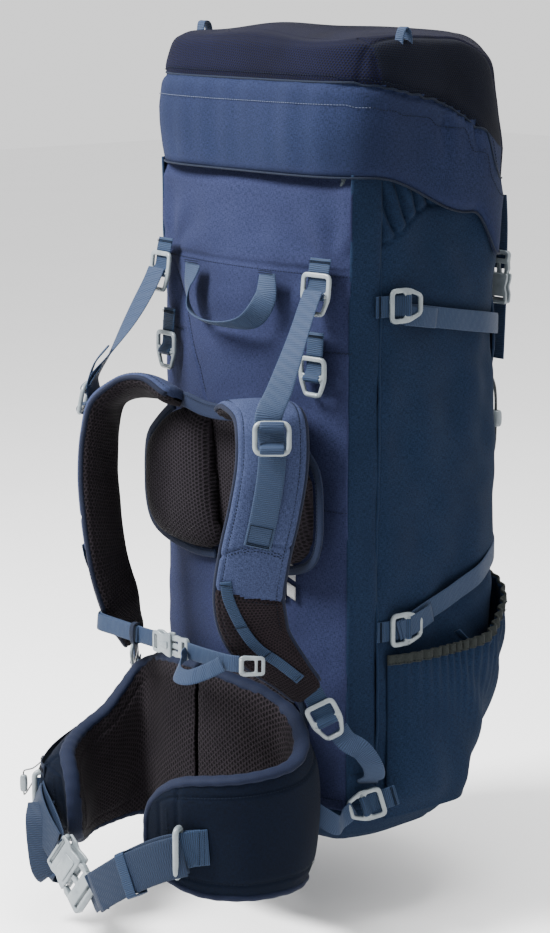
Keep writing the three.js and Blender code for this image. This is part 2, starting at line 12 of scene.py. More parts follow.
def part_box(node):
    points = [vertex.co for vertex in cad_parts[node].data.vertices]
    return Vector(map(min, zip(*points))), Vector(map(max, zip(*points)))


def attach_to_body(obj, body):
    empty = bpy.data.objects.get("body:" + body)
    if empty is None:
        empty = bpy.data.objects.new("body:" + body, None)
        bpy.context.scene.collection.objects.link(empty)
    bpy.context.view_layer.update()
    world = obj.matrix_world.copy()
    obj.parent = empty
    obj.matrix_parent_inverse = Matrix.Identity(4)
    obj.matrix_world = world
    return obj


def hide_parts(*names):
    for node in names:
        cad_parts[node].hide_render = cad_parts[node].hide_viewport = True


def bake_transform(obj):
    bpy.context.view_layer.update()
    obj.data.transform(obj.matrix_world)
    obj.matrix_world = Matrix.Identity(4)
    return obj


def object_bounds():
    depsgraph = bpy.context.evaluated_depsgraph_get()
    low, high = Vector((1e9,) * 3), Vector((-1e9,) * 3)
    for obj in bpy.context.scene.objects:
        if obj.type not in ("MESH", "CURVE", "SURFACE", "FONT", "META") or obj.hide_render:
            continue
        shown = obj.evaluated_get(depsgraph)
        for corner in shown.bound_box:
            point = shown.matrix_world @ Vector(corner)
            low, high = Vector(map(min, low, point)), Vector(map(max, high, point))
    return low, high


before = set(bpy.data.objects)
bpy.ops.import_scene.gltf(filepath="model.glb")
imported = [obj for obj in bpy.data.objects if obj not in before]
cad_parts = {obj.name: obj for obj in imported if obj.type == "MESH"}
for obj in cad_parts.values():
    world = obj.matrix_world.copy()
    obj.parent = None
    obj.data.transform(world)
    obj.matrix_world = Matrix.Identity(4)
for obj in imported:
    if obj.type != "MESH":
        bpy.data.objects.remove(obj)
cad_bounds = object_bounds()

MM = 0.001
BACK_STANDS_OUT = 150  # the back panel's middle lies this far in front of the pack's y = 0
ORIGIN_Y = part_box("back_panel")[0].y + BACK_STANDS_OUT * MM
ORIGIN_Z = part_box("base_panel")[0].z
SIDES = (("left", -1), ("right", 1))


# ---- points and curves ----
def place(points):
    """Pack millimetres to the frame's metres."""
    return np.asarray(points, float) * MM + np.array([0.0, ORIGIN_Y, ORIGIN_Z])


def unplace(corner):
    """A point of the frame, in metres, to pack millimetres."""
    return (np.asarray(corner, float) - np.array([0.0, ORIGIN_Y, ORIGIN_Z])) / MM


def node_centre(node):
    low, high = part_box(node)
    return (unplace(low) + unplace(high)) / 2


def point(*p):
    return tuple(place(p))


def smooth(low, high, value):
    t = np.clip((np.asarray(value, float) - low) / (high - low), 0, 1)
    return t * t * (3 - 2 * t)


def lerp(a, b, t):
    return a + (b - a) * t


def unit(v):
    v = np.asarray(v, float)
    return v / np.maximum(np.linalg.norm(v, axis=-1, keepdims=True), 1e-9)


def mirror(points, sign):
    return np.asarray(points, float) * np.array([sign, 1, 1])


def resample(line, count):
    steps = np.linalg.norm(np.diff(line, axis=0), axis=1)
    at = np.concatenate([[0], np.cumsum(steps)])
    want = np.linspace(0, at[-1], count)
    return np.stack([np.interp(want, at, line[:, k]) for k in range(line.shape[1])], 1)


def spline(points, count):
    """Evenly spaced points on a centripetal Catmull-Rom curve."""
    p = np.asarray(points, float)
    p = np.vstack([2 * p[0] - p[1], p, 2 * p[-1] - p[-2]])
    t = np.linspace(0, 1, 40, endpoint=False)[:, None]
    dense = []
    for a, b, c, d in zip(p[:-3], p[1:-2], p[2:-1], p[3:]):
        ta, tb, tc = (np.linalg.norm(e) ** 0.5 for e in (b - a, c - b, d - c))
        leave = ((b - a) / ta - (c - a) / (ta + tb) + (c - b) / tb) * tb
        arrive = ((c - b) / tb - (d - b) / (tb + tc) + (d - c) / tc) * tb
        bend = 3 * (c - b) - 2 * leave - arrive
        dense.append(b + leave * t + bend * t**2 + (2 * (b - c) + leave + arrive) * t**3)
    return resample(np.vstack(dense + [p[-2:-1]]), count)


def ripple(points, wavelength, amount, seed):
    """A smooth seeded field over space, about +-amount, for slack and creases."""
    rng = np.random.default_rng(seed)
    total = np.zeros(points.shape[:-1])
    for _ in range(7):
        direction = unit(rng.normal(size=3)) * 2 * math.pi / (wavelength * rng.uniform(0.7, 1.5))
        total += np.sin(points @ direction + rng.uniform(0, 2 * math.pi))
    return total * amount / 2.6


# ---- mesh building ----
def grid_normals(P, wrap=False):
    if wrap:
        Q = np.concatenate([P[:, -1:], P, P[:, :1]], 1)
        across = (Q[:, 2:] - Q[:, :-2]) / 2
    else:
        across = np.gradient(P, axis=1)
    return unit(np.cross(np.gradient(P, axis=0), across))


def push(P, amount, centre=(0, -10, 330), wrap=False):
    """Moves a surface along its normals, away from centre where amount is positive."""
    n = grid_normals(P, wrap)
    if np.sum(n * (P - np.asarray(centre, float))) < 0:
        n = -n
    return P + n * np.asarray(amount)[..., None]


def lengths(P, axis):
    """Distance along a grid's middle line, in metres, for texture coordinates."""
    line = P[:, P.shape[1] // 2] if axis == 0 else P[P.shape[0] // 2]
    return np.concatenate([[0], np.cumsum(np.linalg.norm(np.diff(line, axis=0), axis=1))]) * MM


class Shape:
    """Grids of points gathered into one mesh."""

    def __init__(self):
        self.points = []
        self.faces = []
        self.uvs = []
        self.finishes = []
        self.count = 0

    def grid(self, P, uv=None, wrap=False, caps=False, finish=0):
        n, k = P.shape[:2]
        if uv is None:
            along = lengths(P, 0)
            ring = np.concatenate([P, P[:, :1]], 1) if wrap else P
            uv = np.stack(np.meshgrid(along, lengths(ring, 1), indexing="ij"), -1)
        columns = k if wrap else k - 1
        i, j = np.meshgrid(np.arange(n - 1), np.arange(columns), indexing="ij")
        after = (j + 1) % k
        quads = np.stack([i * k + j, (i + 1) * k + j, (i + 1) * k + after, i * k + after], -1)
        corners = np.stack([uv[i, j], uv[i + 1, j], uv[i + 1, j + 1], uv[i, j + 1]], -2)
        self.faces += (quads.reshape(-1, 4) + self.count).tolist()
        self.uvs.append(corners.reshape(-1, 2))
        chosen = finish if np.ndim(finish) else np.full(i.shape, finish)
        self.finishes += np.asarray(chosen).reshape(-1).tolist()
        if caps:
            for row, order in ((0, 1), (n - 1, -1)):
                ring = np.arange(k)[::order]
                self.faces.append((row * k + ring + self.count).tolist())
                self.uvs.append(uv[row, ring])
                self.finishes.append(int(np.asarray(chosen).reshape(-1)[0]))
        self.points.append(P.reshape(-1, 3))
        self.count += n * k
        return self

    def make(self, name, materials, body=None, slot=None, shell=0, out=-1, level=0, blend=None):
        mesh = bpy.data.meshes.new(name)
        mesh.from_pydata(place(np.vstack(self.points)).tolist(), [], self.faces)
        layer = mesh.uv_layers.new(name="UVMap")
        layer.data.foreach_set("uv", np.vstack(self.uvs).astype(np.float32).ravel())
        for m in materials if isinstance(materials, (list, tuple)) else [materials]:
            mesh.materials.append(m)
        mesh.polygons.foreach_set("material_index", self.finishes)
        mesh.polygons.foreach_set("use_smooth", [True] * len(self.faces))
        tidy = bmesh.new()
        tidy.from_mesh(mesh)
        bmesh.ops.remove_doubles(tidy, verts=tidy.verts, dist=1e-6)
        bmesh.ops.recalc_face_normals(tidy, faces=tidy.faces)
        tidy.to_mesh(mesh)
        tidy.free()
        made = bpy.data.objects.new(name, mesh)
        bpy.context.scene.collection.objects.link(made)
        if shell:
            solid = made.modifiers.new("Thickness", "SOLIDIFY")
            solid.thickness = shell * MM
            solid.offset = out
        if level:
            finer = made.modifiers.new("Finer", "SUBSURF")
            finer.levels = level
            finer.render_levels = level
        return attach(made, body, blend)


def attach(made, body, blend=None):
    if blend:
        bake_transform(made)
    elif body:
        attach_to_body(made, body)
    return made


def frames(path, across):
    """Along a path: its width direction and its face direction, square to it."""
    tangent = unit(np.gradient(path, axis=0))
    wide = np.broadcast_to(np.asarray(across, float), path.shape)
    wide = unit(wide - np.sum(wide * tangent, -1, keepdims=True) * tangent)
    return wide, np.cross(tangent, wide)


def band(path, across, width, thickness, corners=16):
    """The grid and texture coordinates of a flat strap with soft edges."""
    wide, face = frames(path, across)
    a = np.linspace(0, 2 * math.pi, corners + 1)
    w = np.sign(np.cos(a)) * np.abs(np.cos(a)) ** 0.35
    t = np.sign(np.sin(a)) * np.abs(np.sin(a)) ** 0.8
    half = np.broadcast_to(np.asarray(width, float) / 2, len(path))
    deep = np.broadcast_to(np.asarray(thickness, float) / 2, len(path))
    P = (
        path[:, None]
        + wide[:, None] * (half[:, None] * w)[..., None]
        + face[:, None] * (deep[:, None] * t)[..., None]
    )
    along = np.concatenate([[0], np.cumsum(np.linalg.norm(np.diff(path, axis=0), axis=1))])
    uv = np.stack([np.repeat(along[:, None], corners + 1, 1), half[:, None] * w], -1) * MM
    return P[:, :-1], uv


def add_band(shape, points, across, width, thickness=1.6, count=0, finish=0):
    path = spline(points, count) if count else np.asarray(points, float)
    P, uv = band(path, across, width, thickness)
    return shape.grid(P, uv, wrap=True, caps=True, finish=finish)


def add_tube(shape, path, radius, sides=8, closed=False, finish=0, squash=1.0):
    path = np.asarray(path, float)
    tangent = unit(np.gradient(path, axis=0))
    if closed:
        around = np.vstack([path[-2:-1], path, path[1:2]])
        tangent = unit(around[2:] - around[:-2])
    seed = np.array([0.31, 0.52, 0.79])
    wide = unit(np.cross(tangent, seed))
    for i in range(1, len(wide)):
        carried = wide[i - 1] - tangent[i] * np.dot(wide[i - 1], tangent[i])
        wide[i] = carried / max(np.linalg.norm(carried), 1e-9)
    face = np.cross(tangent, wide)
    a = np.linspace(0, 2 * math.pi, sides, endpoint=False)
    r = np.broadcast_to(np.asarray(radius, float), len(path))[:, None, None]
    ring = wide[:, None] * np.cos(a)[:, None] + face[:, None] * np.sin(a)[:, None] * squash
    return shape.grid(path[:, None] + ring * r, wrap=True, caps=not closed, finish=finish)


def add_stitches(shape, path, normal, pitch=3.2, length=2.1, radius=0.36, finish=0):
    """A row of thread stitches lying on a surface."""
    path = np.asarray(path, float)
    total = np.sum(np.linalg.norm(np.diff(path, axis=0), axis=1))
    count = max(int(total / pitch), 2)
    at = resample(path, count * 2 + 1)
    normal = np.broadcast_to(unit(normal), path.shape)
    lift = resample(normal, count * 2 + 1)
    a = np.linspace(0, 2 * math.pi, 5, endpoint=False)
    for i in range(count):
        middle = at[2 * i + 1]
        along = unit(at[2 * i + 2] - at[2 * i])
        out = unit(lift[2 * i + 1])
        side = unit(np.cross(along, out))
        rows = []
        for t, size, rise in ((-0.5, 0.35, -0.2), (-0.25, 1, 0.2), (0.25, 1, 0.2),
                (0.5, 0.35, -0.2)):
            ring = side[None] * np.cos(a)[:, None] + out[None] * np.sin(a)[:, None]
            rows.append(middle + along * t * length + out * rise + ring * radius * size)
        shape.grid(np.array(rows), wrap=True, caps=True, finish=finish)
    return shape


# ---- materials ----
class Shader:
    """A node material: small helpers around its Principled BSDF."""

    def __init__(self, name, roughness, **constants):
        self.material = bpy.data.materials.new(name)
        self.material.use_nodes = True
        self.tree = self.material.node_tree
        self.bsdf = self.tree.nodes["Principled BSDF"]
        self.bsdf.inputs["Roughness"].default_value = roughness
        for socket, value in constants.items():
            self.bsdf.inputs[socket.replace("_", " ")].default_value = value

    def add(self, kind, inputs=None, **settings):
        node = self.tree.nodes.new("ShaderNode" + kind)
        for key, value in settings.items():
            setattr(node, key, value)
        for key, value in (inputs or {}).items():
            self.put(node.inputs[key], value)
        return node

    def put(self, socket, value):
        if isinstance(value, bpy.types.NodeSocket):
            self.tree.links.new(value, socket)
        else:
            socket.default_value = value

    def math(self, operation, a, b=0.0):
        return self.add("Math", {0: a, 1: b}, operation=operation).outputs[0]

    def vector(self, operation, a, b=(0, 0, 0)):
        node = self.add("VectorMath", {0: a, 1: b}, operation=operation)
        return node.outputs["Value" if operation == "LENGTH" else "Vector"]

    def uv(self):
        """Texture coordinates in millimetres of cloth."""
        return self.vector("MULTIPLY", self.add("TexCoord").outputs["UV"], (1000, 1000, 0))

    def facing(self):
        """The place in the object, in millimetres, flattened towards the wearer's side."""
        whole = self.vector("MULTIPLY", self.add("TexCoord").outputs["Object"], (1000, 1000, 1000))
        split = self.add("SeparateXYZ", {0: whole})
        flat = self.add("CombineXYZ", {0: split.outputs[0], 1: split.outputs[2]})
        return flat.outputs[0]

    def noise(self, at, scale, detail=2.0, roughness=0.55):
        vector = self.vector("MULTIPLY", at, scale) if isinstance(scale, tuple) else at
        size = 1.0 if isinstance(scale, tuple) else scale
        inputs = {"Vector": vector, "Scale": size, "Detail": detail, "Roughness": roughness}
        return self.add("TexNoise", inputs).outputs["Fac"]

    def ramp(self, value, low, high, first=0.0, last=1.0):
        inputs = {"Value": value, "From Min": low, "From Max": high, "To Min": first,
            "To Max": last}
        return self.add("MapRange", inputs, interpolation_type="SMOOTHSTEP").outputs["Result"]

    def mix(self, factor, a, b, mode="MIX"):
        node = self.add("Mix", data_type="RGBA", blend_type=mode)
        for index, value in ((0, factor), (6, a), (7, b)):
            if not isinstance(value, bpy.types.NodeSocket) and index:
                value = colour(value)
            self.put(node.inputs[index], value)
        return node.outputs[2]

    def wave(self, at, pitch, axis):
        part = self.add("SeparateXYZ", {0: at}).outputs[axis]
        return self.math("SINE", self.math("MULTIPLY", part, 2 * math.pi / pitch))

    def holes(self, at, pitch):
        """Distance to the nearest hole of a staggered pattern, in pitches."""
        p = self.vector("MULTIPLY", at, (1 / pitch, 1 / pitch, 0))
        near = []
        for shift in ((0, 0, 0), (0.5, 0.866, 0)):
            moved = self.vector("ADD", p, shift)
            folded = self.vector("WRAP", moved, (0.5, 0.866, 1))
            folded.node.inputs[2].default_value = (-0.5, -0.866, -1)
            near.append(self.vector("LENGTH", folded))
        return self.math("MINIMUM", *near)

    def finish(self, base, height=None, depth=0.2, strength=1.0):
        self.put(self.bsdf.inputs["Base Color"], base if isinstance(base,
            bpy.types.NodeSocket) else colour(base))
        if height is not None:
            inputs = {"Height": height, "Distance": depth * MM, "Strength": strength}
            self.put(self.bsdf.inputs["Normal"], self.add("Bump", inputs).outputs[0])
        return self.material


def colour(value):
    """A web colour as linear RGBA."""
    if not isinstance(value, str):
        return value
    parts = [int(value[i : i + 2], 16) / 255 for i in (1, 3, 5)]
    linear = [c / 12.92 if c <= 0.04045 else ((c + 0.055) / 1.055) ** 2.4 for c in parts]
    return (*linear, 1.0)


def melange(name, dark, light, pitch=1.0, slant=False):
    """Woven cloth of two-tone yarns, clouded by wear."""
    s = Shader(name, 0.85, Sheen_Weight=0.01, Sheen_Roughness=0.5, Specular_IOR_Level=0.06)
    at = s.uv()
    warp = s.noise(at, (1.5, 0.3, 1))
    weft = s.noise(at, (0.3, 1.5, 1))
    yarn = s.math("MULTIPLY", s.math("ADD", warp, weft), 0.5)
    speck = s.noise(at, 1.3, 3.0, 0.7)
    base = s.mix(s.ramp(yarn, 0.36, 0.62), dark, light)
    base = s.mix(s.math("MULTIPLY", s.ramp(speck, 0.56, 0.72), 0.35), base, light)
    cloud = s.noise(at, 0.011, 3.0)
    base = s.mix(s.ramp(cloud, 0.35, 0.7, 0.0, 0.3), base, dark)
    worn = s.ramp(s.add("NewGeometry").outputs["Pointiness"], 0.51, 0.56, 0.0, 0.25)
    base = s.mix(worn, base, light)
    if slant:
        turned = s.add("VectorRotate", {"Vector": at, "Angle": math.radians(38)})
        at = turned.outputs[0]
        cloth = s.wave(at, pitch, 0)
    else:
        cloth = s.math("MULTIPLY", s.wave(at, pitch, 0), s.wave(at, pitch, 1))
    height = s.math("ADD", s.math("MULTIPLY", cloth, 0.3), s.math("MULTIPLY", speck, 0.8))
    return s.finish(base, height, 0.28)


def honeycomb(name, dark, light, pitch, by_place=False, depth=0.7, hole=0.34, rough=0.88):
    """Knitted mesh with staggered holes."""
    s = Shader(name, rough, Sheen_Weight=0.01, Sheen_Roughness=0.45, Specular_IOR_Level=0.06)
    at = s.facing() if by_place else s.uv()
    bent = s.add("VectorRotate", {"Vector": at, "Angle": math.radians(24)}).outputs[0]
    apart = s.holes(bent, pitch)
    solid = s.ramp(apart, hole * 0.62, hole * 1.25)
    fuzz = s.noise(at, 1.3, 3.0, 0.7)
    cloud = s.noise(at, 0.014, 2.0)
    ridge = s.mix(s.ramp(fuzz, 0.35, 0.7), dark, light)
    ridge = s.mix(s.ramp(cloud, 0.4, 0.65, 0.0, 0.45), ridge, dark)
    # Painted shade: the holes are coloured near black for the depth seen through them.
    base = s.mix(solid, colour("#0b0a0c"), ridge)
    height = s.math("ADD", solid, s.math("MULTIPLY", fuzz, 0.25))
    return s.finish(base, height, depth)


def webbing(name, dark, light, pitch=1.7):
    """Ribbed strap, lighter along its woven edges."""
    s = Shader(name, 0.68, Sheen_Weight=0.03, Sheen_Roughness=0.35, Specular_IOR_Level=0.2)
    at = s.uv()
    ribs = s.wave(at, pitch, 0)
    rows = s.wave(at, 2.6, 1)
    turned = s.add("VectorRotate", {"Vector": at, "Angle": math.radians(35)}).outputs[0]
    twill = s.wave(turned, pitch, 0)
    fuzz = s.noise(at, 1.6, 3.0, 0.7)
    pattern = s.math("ADD", s.math("MULTIPLY", ribs, 0.5),
        s.math("MULTIPLY", s.math("MULTIPLY", rows, twill), 0.5))
    tone = s.ramp(s.math("ADD", s.math("MULTIPLY", pattern, 0.25), fuzz), 0.25, 0.85)
    base = s.mix(tone, dark, light)
    worn = s.ramp(s.add("NewGeometry").outputs["Pointiness"], 0.52, 0.6, 0.0, 0.35)
    base = s.mix(worn, base, light)
    height = s.math("ADD", pattern, s.math("MULTIPLY", fuzz, 0.5))
    return s.finish(base, height, 0.22)


def moulded(name, base, shade, roughness=0.34):
    """Satin plastic with fine grain and clouded tone, with painted shade in its hollows."""
    s = Shader(name, roughness, Specular_IOR_Level=0.5, Coat_Weight=0.12, Coat_Roughness=0.3)
    at = s.vector("MULTIPLY", s.add("TexCoord").outputs["Object"], (1000, 1000, 1000))
    grain = s.noise(at, 2.2, 3.0, 0.6)
    cloud = s.noise(at, 0.09, 2.0)
    mixed = s.mix(s.ramp(cloud, 0.35, 0.7, 0.0, 0.5), base, shade)
    # Painted shade: concave places are darkened towards the shade colour, which leaves the edges
    # lighter.
    hollow = s.ramp(s.add("NewGeometry").outputs["Pointiness"], 0.49, 0.44, 0.0, 0.6)
    mixed = s.mix(hollow, mixed, shade)
    s.put(s.bsdf.inputs["Roughness"], s.ramp(grain, 0.3, 0.7, roughness - 0.08, roughness + 0.12))
    return s.finish(mixed, grain, 0.05)


def plain_cloth(name, dark, light, pitch=0.9, rough=0.75):
    """Plain close weave, for lining, binding and tape."""
    s = Shader(name, rough, Sheen_Weight=0.02, Sheen_Roughness=0.4, Specular_IOR_Level=0.15)
    at = s.uv()
    fuzz = s.noise(at, 1.1, 3.0, 0.65)
    base = s.mix(s.ramp(fuzz, 0.32, 0.7), dark, light)
    weave = s.math("MULTIPLY", s.wave(at, pitch, 0), s.wave(at, pitch, 1))
    height = s.math("ADD", s.math("MULTIPLY", weave, 0.4), fuzz)
    return s.finish(base, height, 0.18)


def thread(name, tone, other):
    s = Shader(name, 0.8, Specular_IOR_Level=0.1)
    at = s.vector("MULTIPLY", s.add("TexCoord").outputs["Object"], (1000, 1000, 1000))
    twist = s.noise(at, 1.5, 2.0)
    return s.finish(s.mix(s.ramp(twist, 0.35, 0.65), tone, other), twist, 0.05)


def flecked_cord(name, dark, fleck):
    s = Shader(name, 0.7, Sheen_Weight=0.2, Specular_IOR_Level=0.3)
    at = s.uv()
    turned = s.add("VectorRotate", {"Vector": at, "Angle": math.radians(45)}).outputs[0]
    braid = s.math("MULTIPLY", s.wave(turned, 1.6, 0), s.wave(turned, 1.6, 1))
    spots = s.noise(at, 0.9, 1.0)
    base = s.mix(s.ramp(spots, 0.56, 0.6), dark, fleck)
    return s.finish(base, braid, 0.2)


def brushed(name):
    s = Shader(name, 0.38, Metallic=1.0)
    at = s.vector("MULTIPLY", s.add("TexCoord").outputs["Object"], (1000, 1000, 1000))
    lines = s.noise(at, (2.5, 2.5, 0.05))
    base = s.mix(s.ramp(lines, 0.3, 0.7), "#9da3a8", "#c4c9cd")
    return s.finish(base, lines, 0.04)


NAVY = melange("navy_melange", "#14192d", "#252a45")
# Painted shade: the sides, front, base and pockets use the navy melange darkened, standing in for the
# shade on panels turned from the key light.
SHADED_SIDE_NAVY = melange("side_melange_painted_shade", "#091323", "#162439")
TWILL = melange("harness_twill", "#1e2439", "#333b55", 1.4, True)
CROWN = honeycomb("crown_mesh", "#030412", "#0d1029", 2.6, depth=0.5, hole=0.3)
# The lid's side panels are their own piece of mesh; their darker colour is painted shade for the sides
# turned from the key light.
CROWN_SIDE_SHADED = honeycomb("crown_side_mesh_painted_shade", "#03050f", "#0c111f", 2.3, depth=0.4, hole=0.28)
SPACER = honeycomb("spacer_mesh", "#120f14", "#2d282b", 3.9)
SPACER_FLAT = honeycomb("spacer_mesh_pads", "#110e13", "#2a262a", 3.9, True)
SPACER_DARK = honeycomb("spacer_mesh_dark", "#0f0d11", "#281f23", 3.6)
STRAP = webbing("webbing_blue", "#111d31", "#26364e")
STRAP_DARK = webbing("webbing_dark", "#091626", "#1a2f4b")
LID_NAVY = melange("lid_melange", "#0f1627", "#1e253f")
BINDING_DARK = plain_cloth("binding_dark", "#040812", "#0f1a2e")
WING_CLOTH = melange("wing_melange", "#02050d", "#060e1d")
WING_RIM = plain_cloth("wing_rim", "#04091a", "#0a142b", 1.3)
STRAP_BINDING = plain_cloth("strap_binding", "#040714", "#0e162b")
STRAP_BELT = webbing("webbing_belt", "#071223", "#132339", 2.1)
BINDING = plain_cloth("binding_blue", "#050c1e", "#101a30")
GREY_ELASTIC = plain_cloth("elastic_grey", "#0f1313", "#242827", 1.6)
PLASTIC = moulded("moulded_grey", "#6d7579", "#4b545b")
DARK_PLASTIC = moulded("moulded_dark", "#17191c", "#090a0d")
LINING = plain_cloth("lining_grey", "#2b3239", "#454d53")
NAVY_THREAD = thread("thread_navy", "#03060d", "#0c1422")
PALE_THREAD = thread("thread_pale", "#555a67", "#384053")
CORD = flecked_cord("shock_cord", "#080a0d", "#565c61")
METAL = brushed("brushed_aluminium")
TAG_WHITE = plain_cloth("tag_white", "#7e7f81", "#949597", 0.7)
TAG_GREY = plain_cloth("tag_grey", "#4b4e50", "#626466", 0.7)
COIL = plain_cloth("zip_coil", "#05060b", "#141822", 1.2, 0.5)


# ---- camera, light and floor ----
CAMERA_AZIMUTH = math.radians(48.67)
CAMERA_ELEVATION = math.radians(11.81)
CAMERA_DISTANCE = 2.540
CAMERA_TARGET = (-110.33, 0.0, 325.77)


def set_camera():
    data = bpy.data.cameras.new("view")
    data.lens = 94.65
    data.sensor_width = 36
    camera = bpy.data.objects.new("view", data)
    level = math.cos(CAMERA_ELEVATION)
    back = Vector(
        (
            math.sin(CAMERA_AZIMUTH) * level,
            -math.cos(CAMERA_AZIMUTH) * level,
            math.sin(CAMERA_ELEVATION),
        )
    )
    camera.location = Vector(point(*CAMERA_TARGET)) + back * CAMERA_DISTANCE
    camera.rotation_euler = back.to_track_quat("Z", "Y").to_euler()
    bpy.context.scene.collection.objects.link(camera)
    bpy.context.scene.camera = camera


def add_light(name, at, size, power, tint=(1, 1, 1)):
    data = bpy.data.lights.new(name, "AREA")
    data.size = size
    data.energy = power
    data.color = tint
    lamp = bpy.data.objects.new(name, data)
    lamp.location = at
    aim = Vector(at) - Vector(point(0, 0, 380))
    lamp.rotation_euler = aim.to_track_quat("Z", "Y").to_euler()
    bpy.context.scene.collection.objects.link(lamp)


def set_studio():
    add_light("key", (-0.55, -1.05, 1.15), 0.6, 140)
    add_light("top", (0.3, 0.3, 2.1), 1.2, 60)
    world = bpy.data.worlds.new("studio")
    world.use_nodes = True
    sky = world.node_tree.nodes["Background"]
    sky.inputs["Color"].default_value = (1, 1, 1, 1)
    sky.inputs["Strength"].default_value = 1.25
    bpy.context.scene.world = world
    floor = bpy.data.meshes.new("floor")
    low = cad_bounds[0][2] - 0.03
    reach = 8
    corners = [(-reach, -reach, low), (reach, -reach, low), (reach, reach, low),
        (-reach, reach, low)]
    floor.from_pydata(corners, [], [(0, 1, 2, 3)])
    s = Shader("floor_paint", 0.9, Specular_IOR_Level=0.1)
    tone = s.noise(s.add("TexCoord").outputs["Object"], 3.0)
    floor.materials.append(s.finish(s.mix(tone, "#f4f4f4", "#f8f8f8")))
    made = bpy.data.objects.new("floor", floor)
    bpy.context.scene.collection.objects.link(made)


set_camera()
set_studio()

# ---- the bag's form ----
BAG_TOP = 650
BASE_RIM = 45
BACK_HALF = 133
BACK_EDGE_Y = -125
HALF_OUTLINE = spline(
    [
        (133, -125, 0),
        (140, -85, 0),
        (143, -20, 0),
        (139, 45, 0),
        (115, 86, 0),
        (65, 104, 0),
        (0, 110, 0),
    ],
    600,
)
OUTLINE_AT = np.linspace(0, 1, len(HALF_OUTLINE))
OUTLINE_TANGENT = unit(np.gradient(HALF_OUTLINE, axis=0))
GUSSET_END = 0.103  # stretch of the outline where the strip behind each side panel ends
SIDE_END = 0.645


def bag_point(sign, stretch, z, out=0):
    """A point on the bag's side or front; out moves it away from the bag."""
    stretch, z, out = np.broadcast_arrays(*(np.asarray(a, float) for a in (stretch, z, out)))
    x, y = (np.interp(stretch, OUTLINE_AT, HALF_OUTLINE[:, k]) for k in (0, 1))
    tx, ty = (np.interp(stretch, OUTLINE_AT, OUTLINE_TANGENT[:, k]) for k in (0, 1))
    flare = 1 + (0.02 if sign > 0 else 0.06) * smooth(480, 600, z)
    taper = 40 * smooth(200, 40, z) * smooth(-20, 90, y)
    return np.stack([sign * (x + ty * out) * flare, y - tx * out - taper, z], -1)


def back_point(x, z, out=0):
    x, z, out = np.broadcast_arrays(*(np.asarray(a, float) for a in (x, z, out)))
    bulge = lerp(25, 12, smooth(480, BAG_TOP, z))
    flare = 1 + np.where(x > 0, 0.02, 0.06) * smooth(480, 600, z)
    tuck = 8 * smooth(630, BAG_TOP, z)
    y = BACK_EDGE_Y - bulge * (1 - (x / BACK_HALF) ** 2) - out + tuck
    return np.stack([x * flare, y, z], -1)


def grid(across, up):
    return np.meshgrid(across, up, indexing="ij")


def edge_fall(value, low, high, width):
    """0 at a panel's edges, 1 away from them."""
    return np.clip(np.minimum(value - low, high - value) / width, 0, 1) ** 0.5


def groove(distance, width):
    return np.exp(-((distance / width) ** 2))


def add_seam_stitches(shape, P, column, centre=(0, -10, 330), row=False, **more):
    line = P[:, column] if not row else P[column]
    n = grid_normals(P)
    n = n[:, column] if not row else n[column]
    if np.sum(n * (line - np.asarray(centre, float))) < 0:
        n = -n
    add_stitches(shape, line + n * 0.15, n, **more)


def make_back():
    x, z = grid(np.linspace(-BACK_HALF, BACK_HALF, 150), np.linspace(BASE_RIM, BAG_TOP, 300))
    P = back_point(x, z)
    puff = 2.2 * edge_fall(x, -BACK_HALF, BACK_HALF, 9) - 2.2
    slack = ripple(P, 120, 1.6, 3) + ripple(P, 45, 0.5, 4)
    seam = -1.8 * groove(z - 561, 2.2) + 0.8 * groove(z - 551, 9)
    for sign in (-1, 1):
        # A stitched dart runs from the seam down and in towards the harness.
        line = sign * lerp(-46, -74, (z - 427) / 60)
        reach = smooth(418, 430, z) * smooth(556, 545, z)
        seam = seam - 1.6 * groove(x - line, 2.0) * reach
        pull = sign * x
        across = smooth(80, 86, pull) * smooth(136, 128, pull)
        seam = seam - 1.2 * groove(z - 486, 1.8) * across
        # Soft folds fan out from the lifter's anchor.
        from_anchor = np.hypot(pull - 113, z - 561)
        turn = np.arctan2(z - 561, pull - 113)
        seam = seam + 1.5 * np.sin(turn * 7) * smooth(12, 34, from_anchor) * smooth(95, 45,
            from_anchor)
    P = push(P, puff + slack * edge_fall(z, BASE_RIM, BAG_TOP, 30) + seam)
    shape = Shape().grid(P)
    back = shape.make("bag_back", NAVY, "bag", "body_fabric", shell=2.5)
    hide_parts("back_panel")
    rows = Shape()
    for column in (5, 144):
        add_seam_stitches(rows, P, column)
    across = int(np.argmin(np.abs(z[0] - 556)))
    n = grid_normals(P)[:, across]
    n = n if np.sum(n[:, 1]) < 0 else -n
    add_stitches(rows, P[:, across] + n * 0.15, n)
    for sign in (-1, 1):
        heights = np.linspace(430, 545, 60)
        xs = sign * (lerp(-46, -74, (heights - 427) / 60) + 3)
        i = np.clip(np.round((xs + BACK_HALF) / (2 * BACK_HALF) * 149).astype(int), 0, 149)
        j = np.round((heights - BASE_RIM) / (BAG_TOP - BASE_RIM) * 299).astype(int)
        add_stitches(rows, P[i, j] + np.array([0, -0.3, 0]), (0, -1, 0))
        # Zigzag bar tack over the lid stabilizer's anchor.
        xs = np.linspace(84, 138, 28)
        zig = 486 + 1.6 * (np.arange(28) % 2)
        path = back_point(sign * xs, zig, 1.2 + 1.0 * smooth(138, 120, xs))
        add_stitches(rows, path, (0, -1, 0), pitch=1.6, length=1.7)
    rows.make("back_stitching", NAVY_THREAD, "bag", "body_fabric")


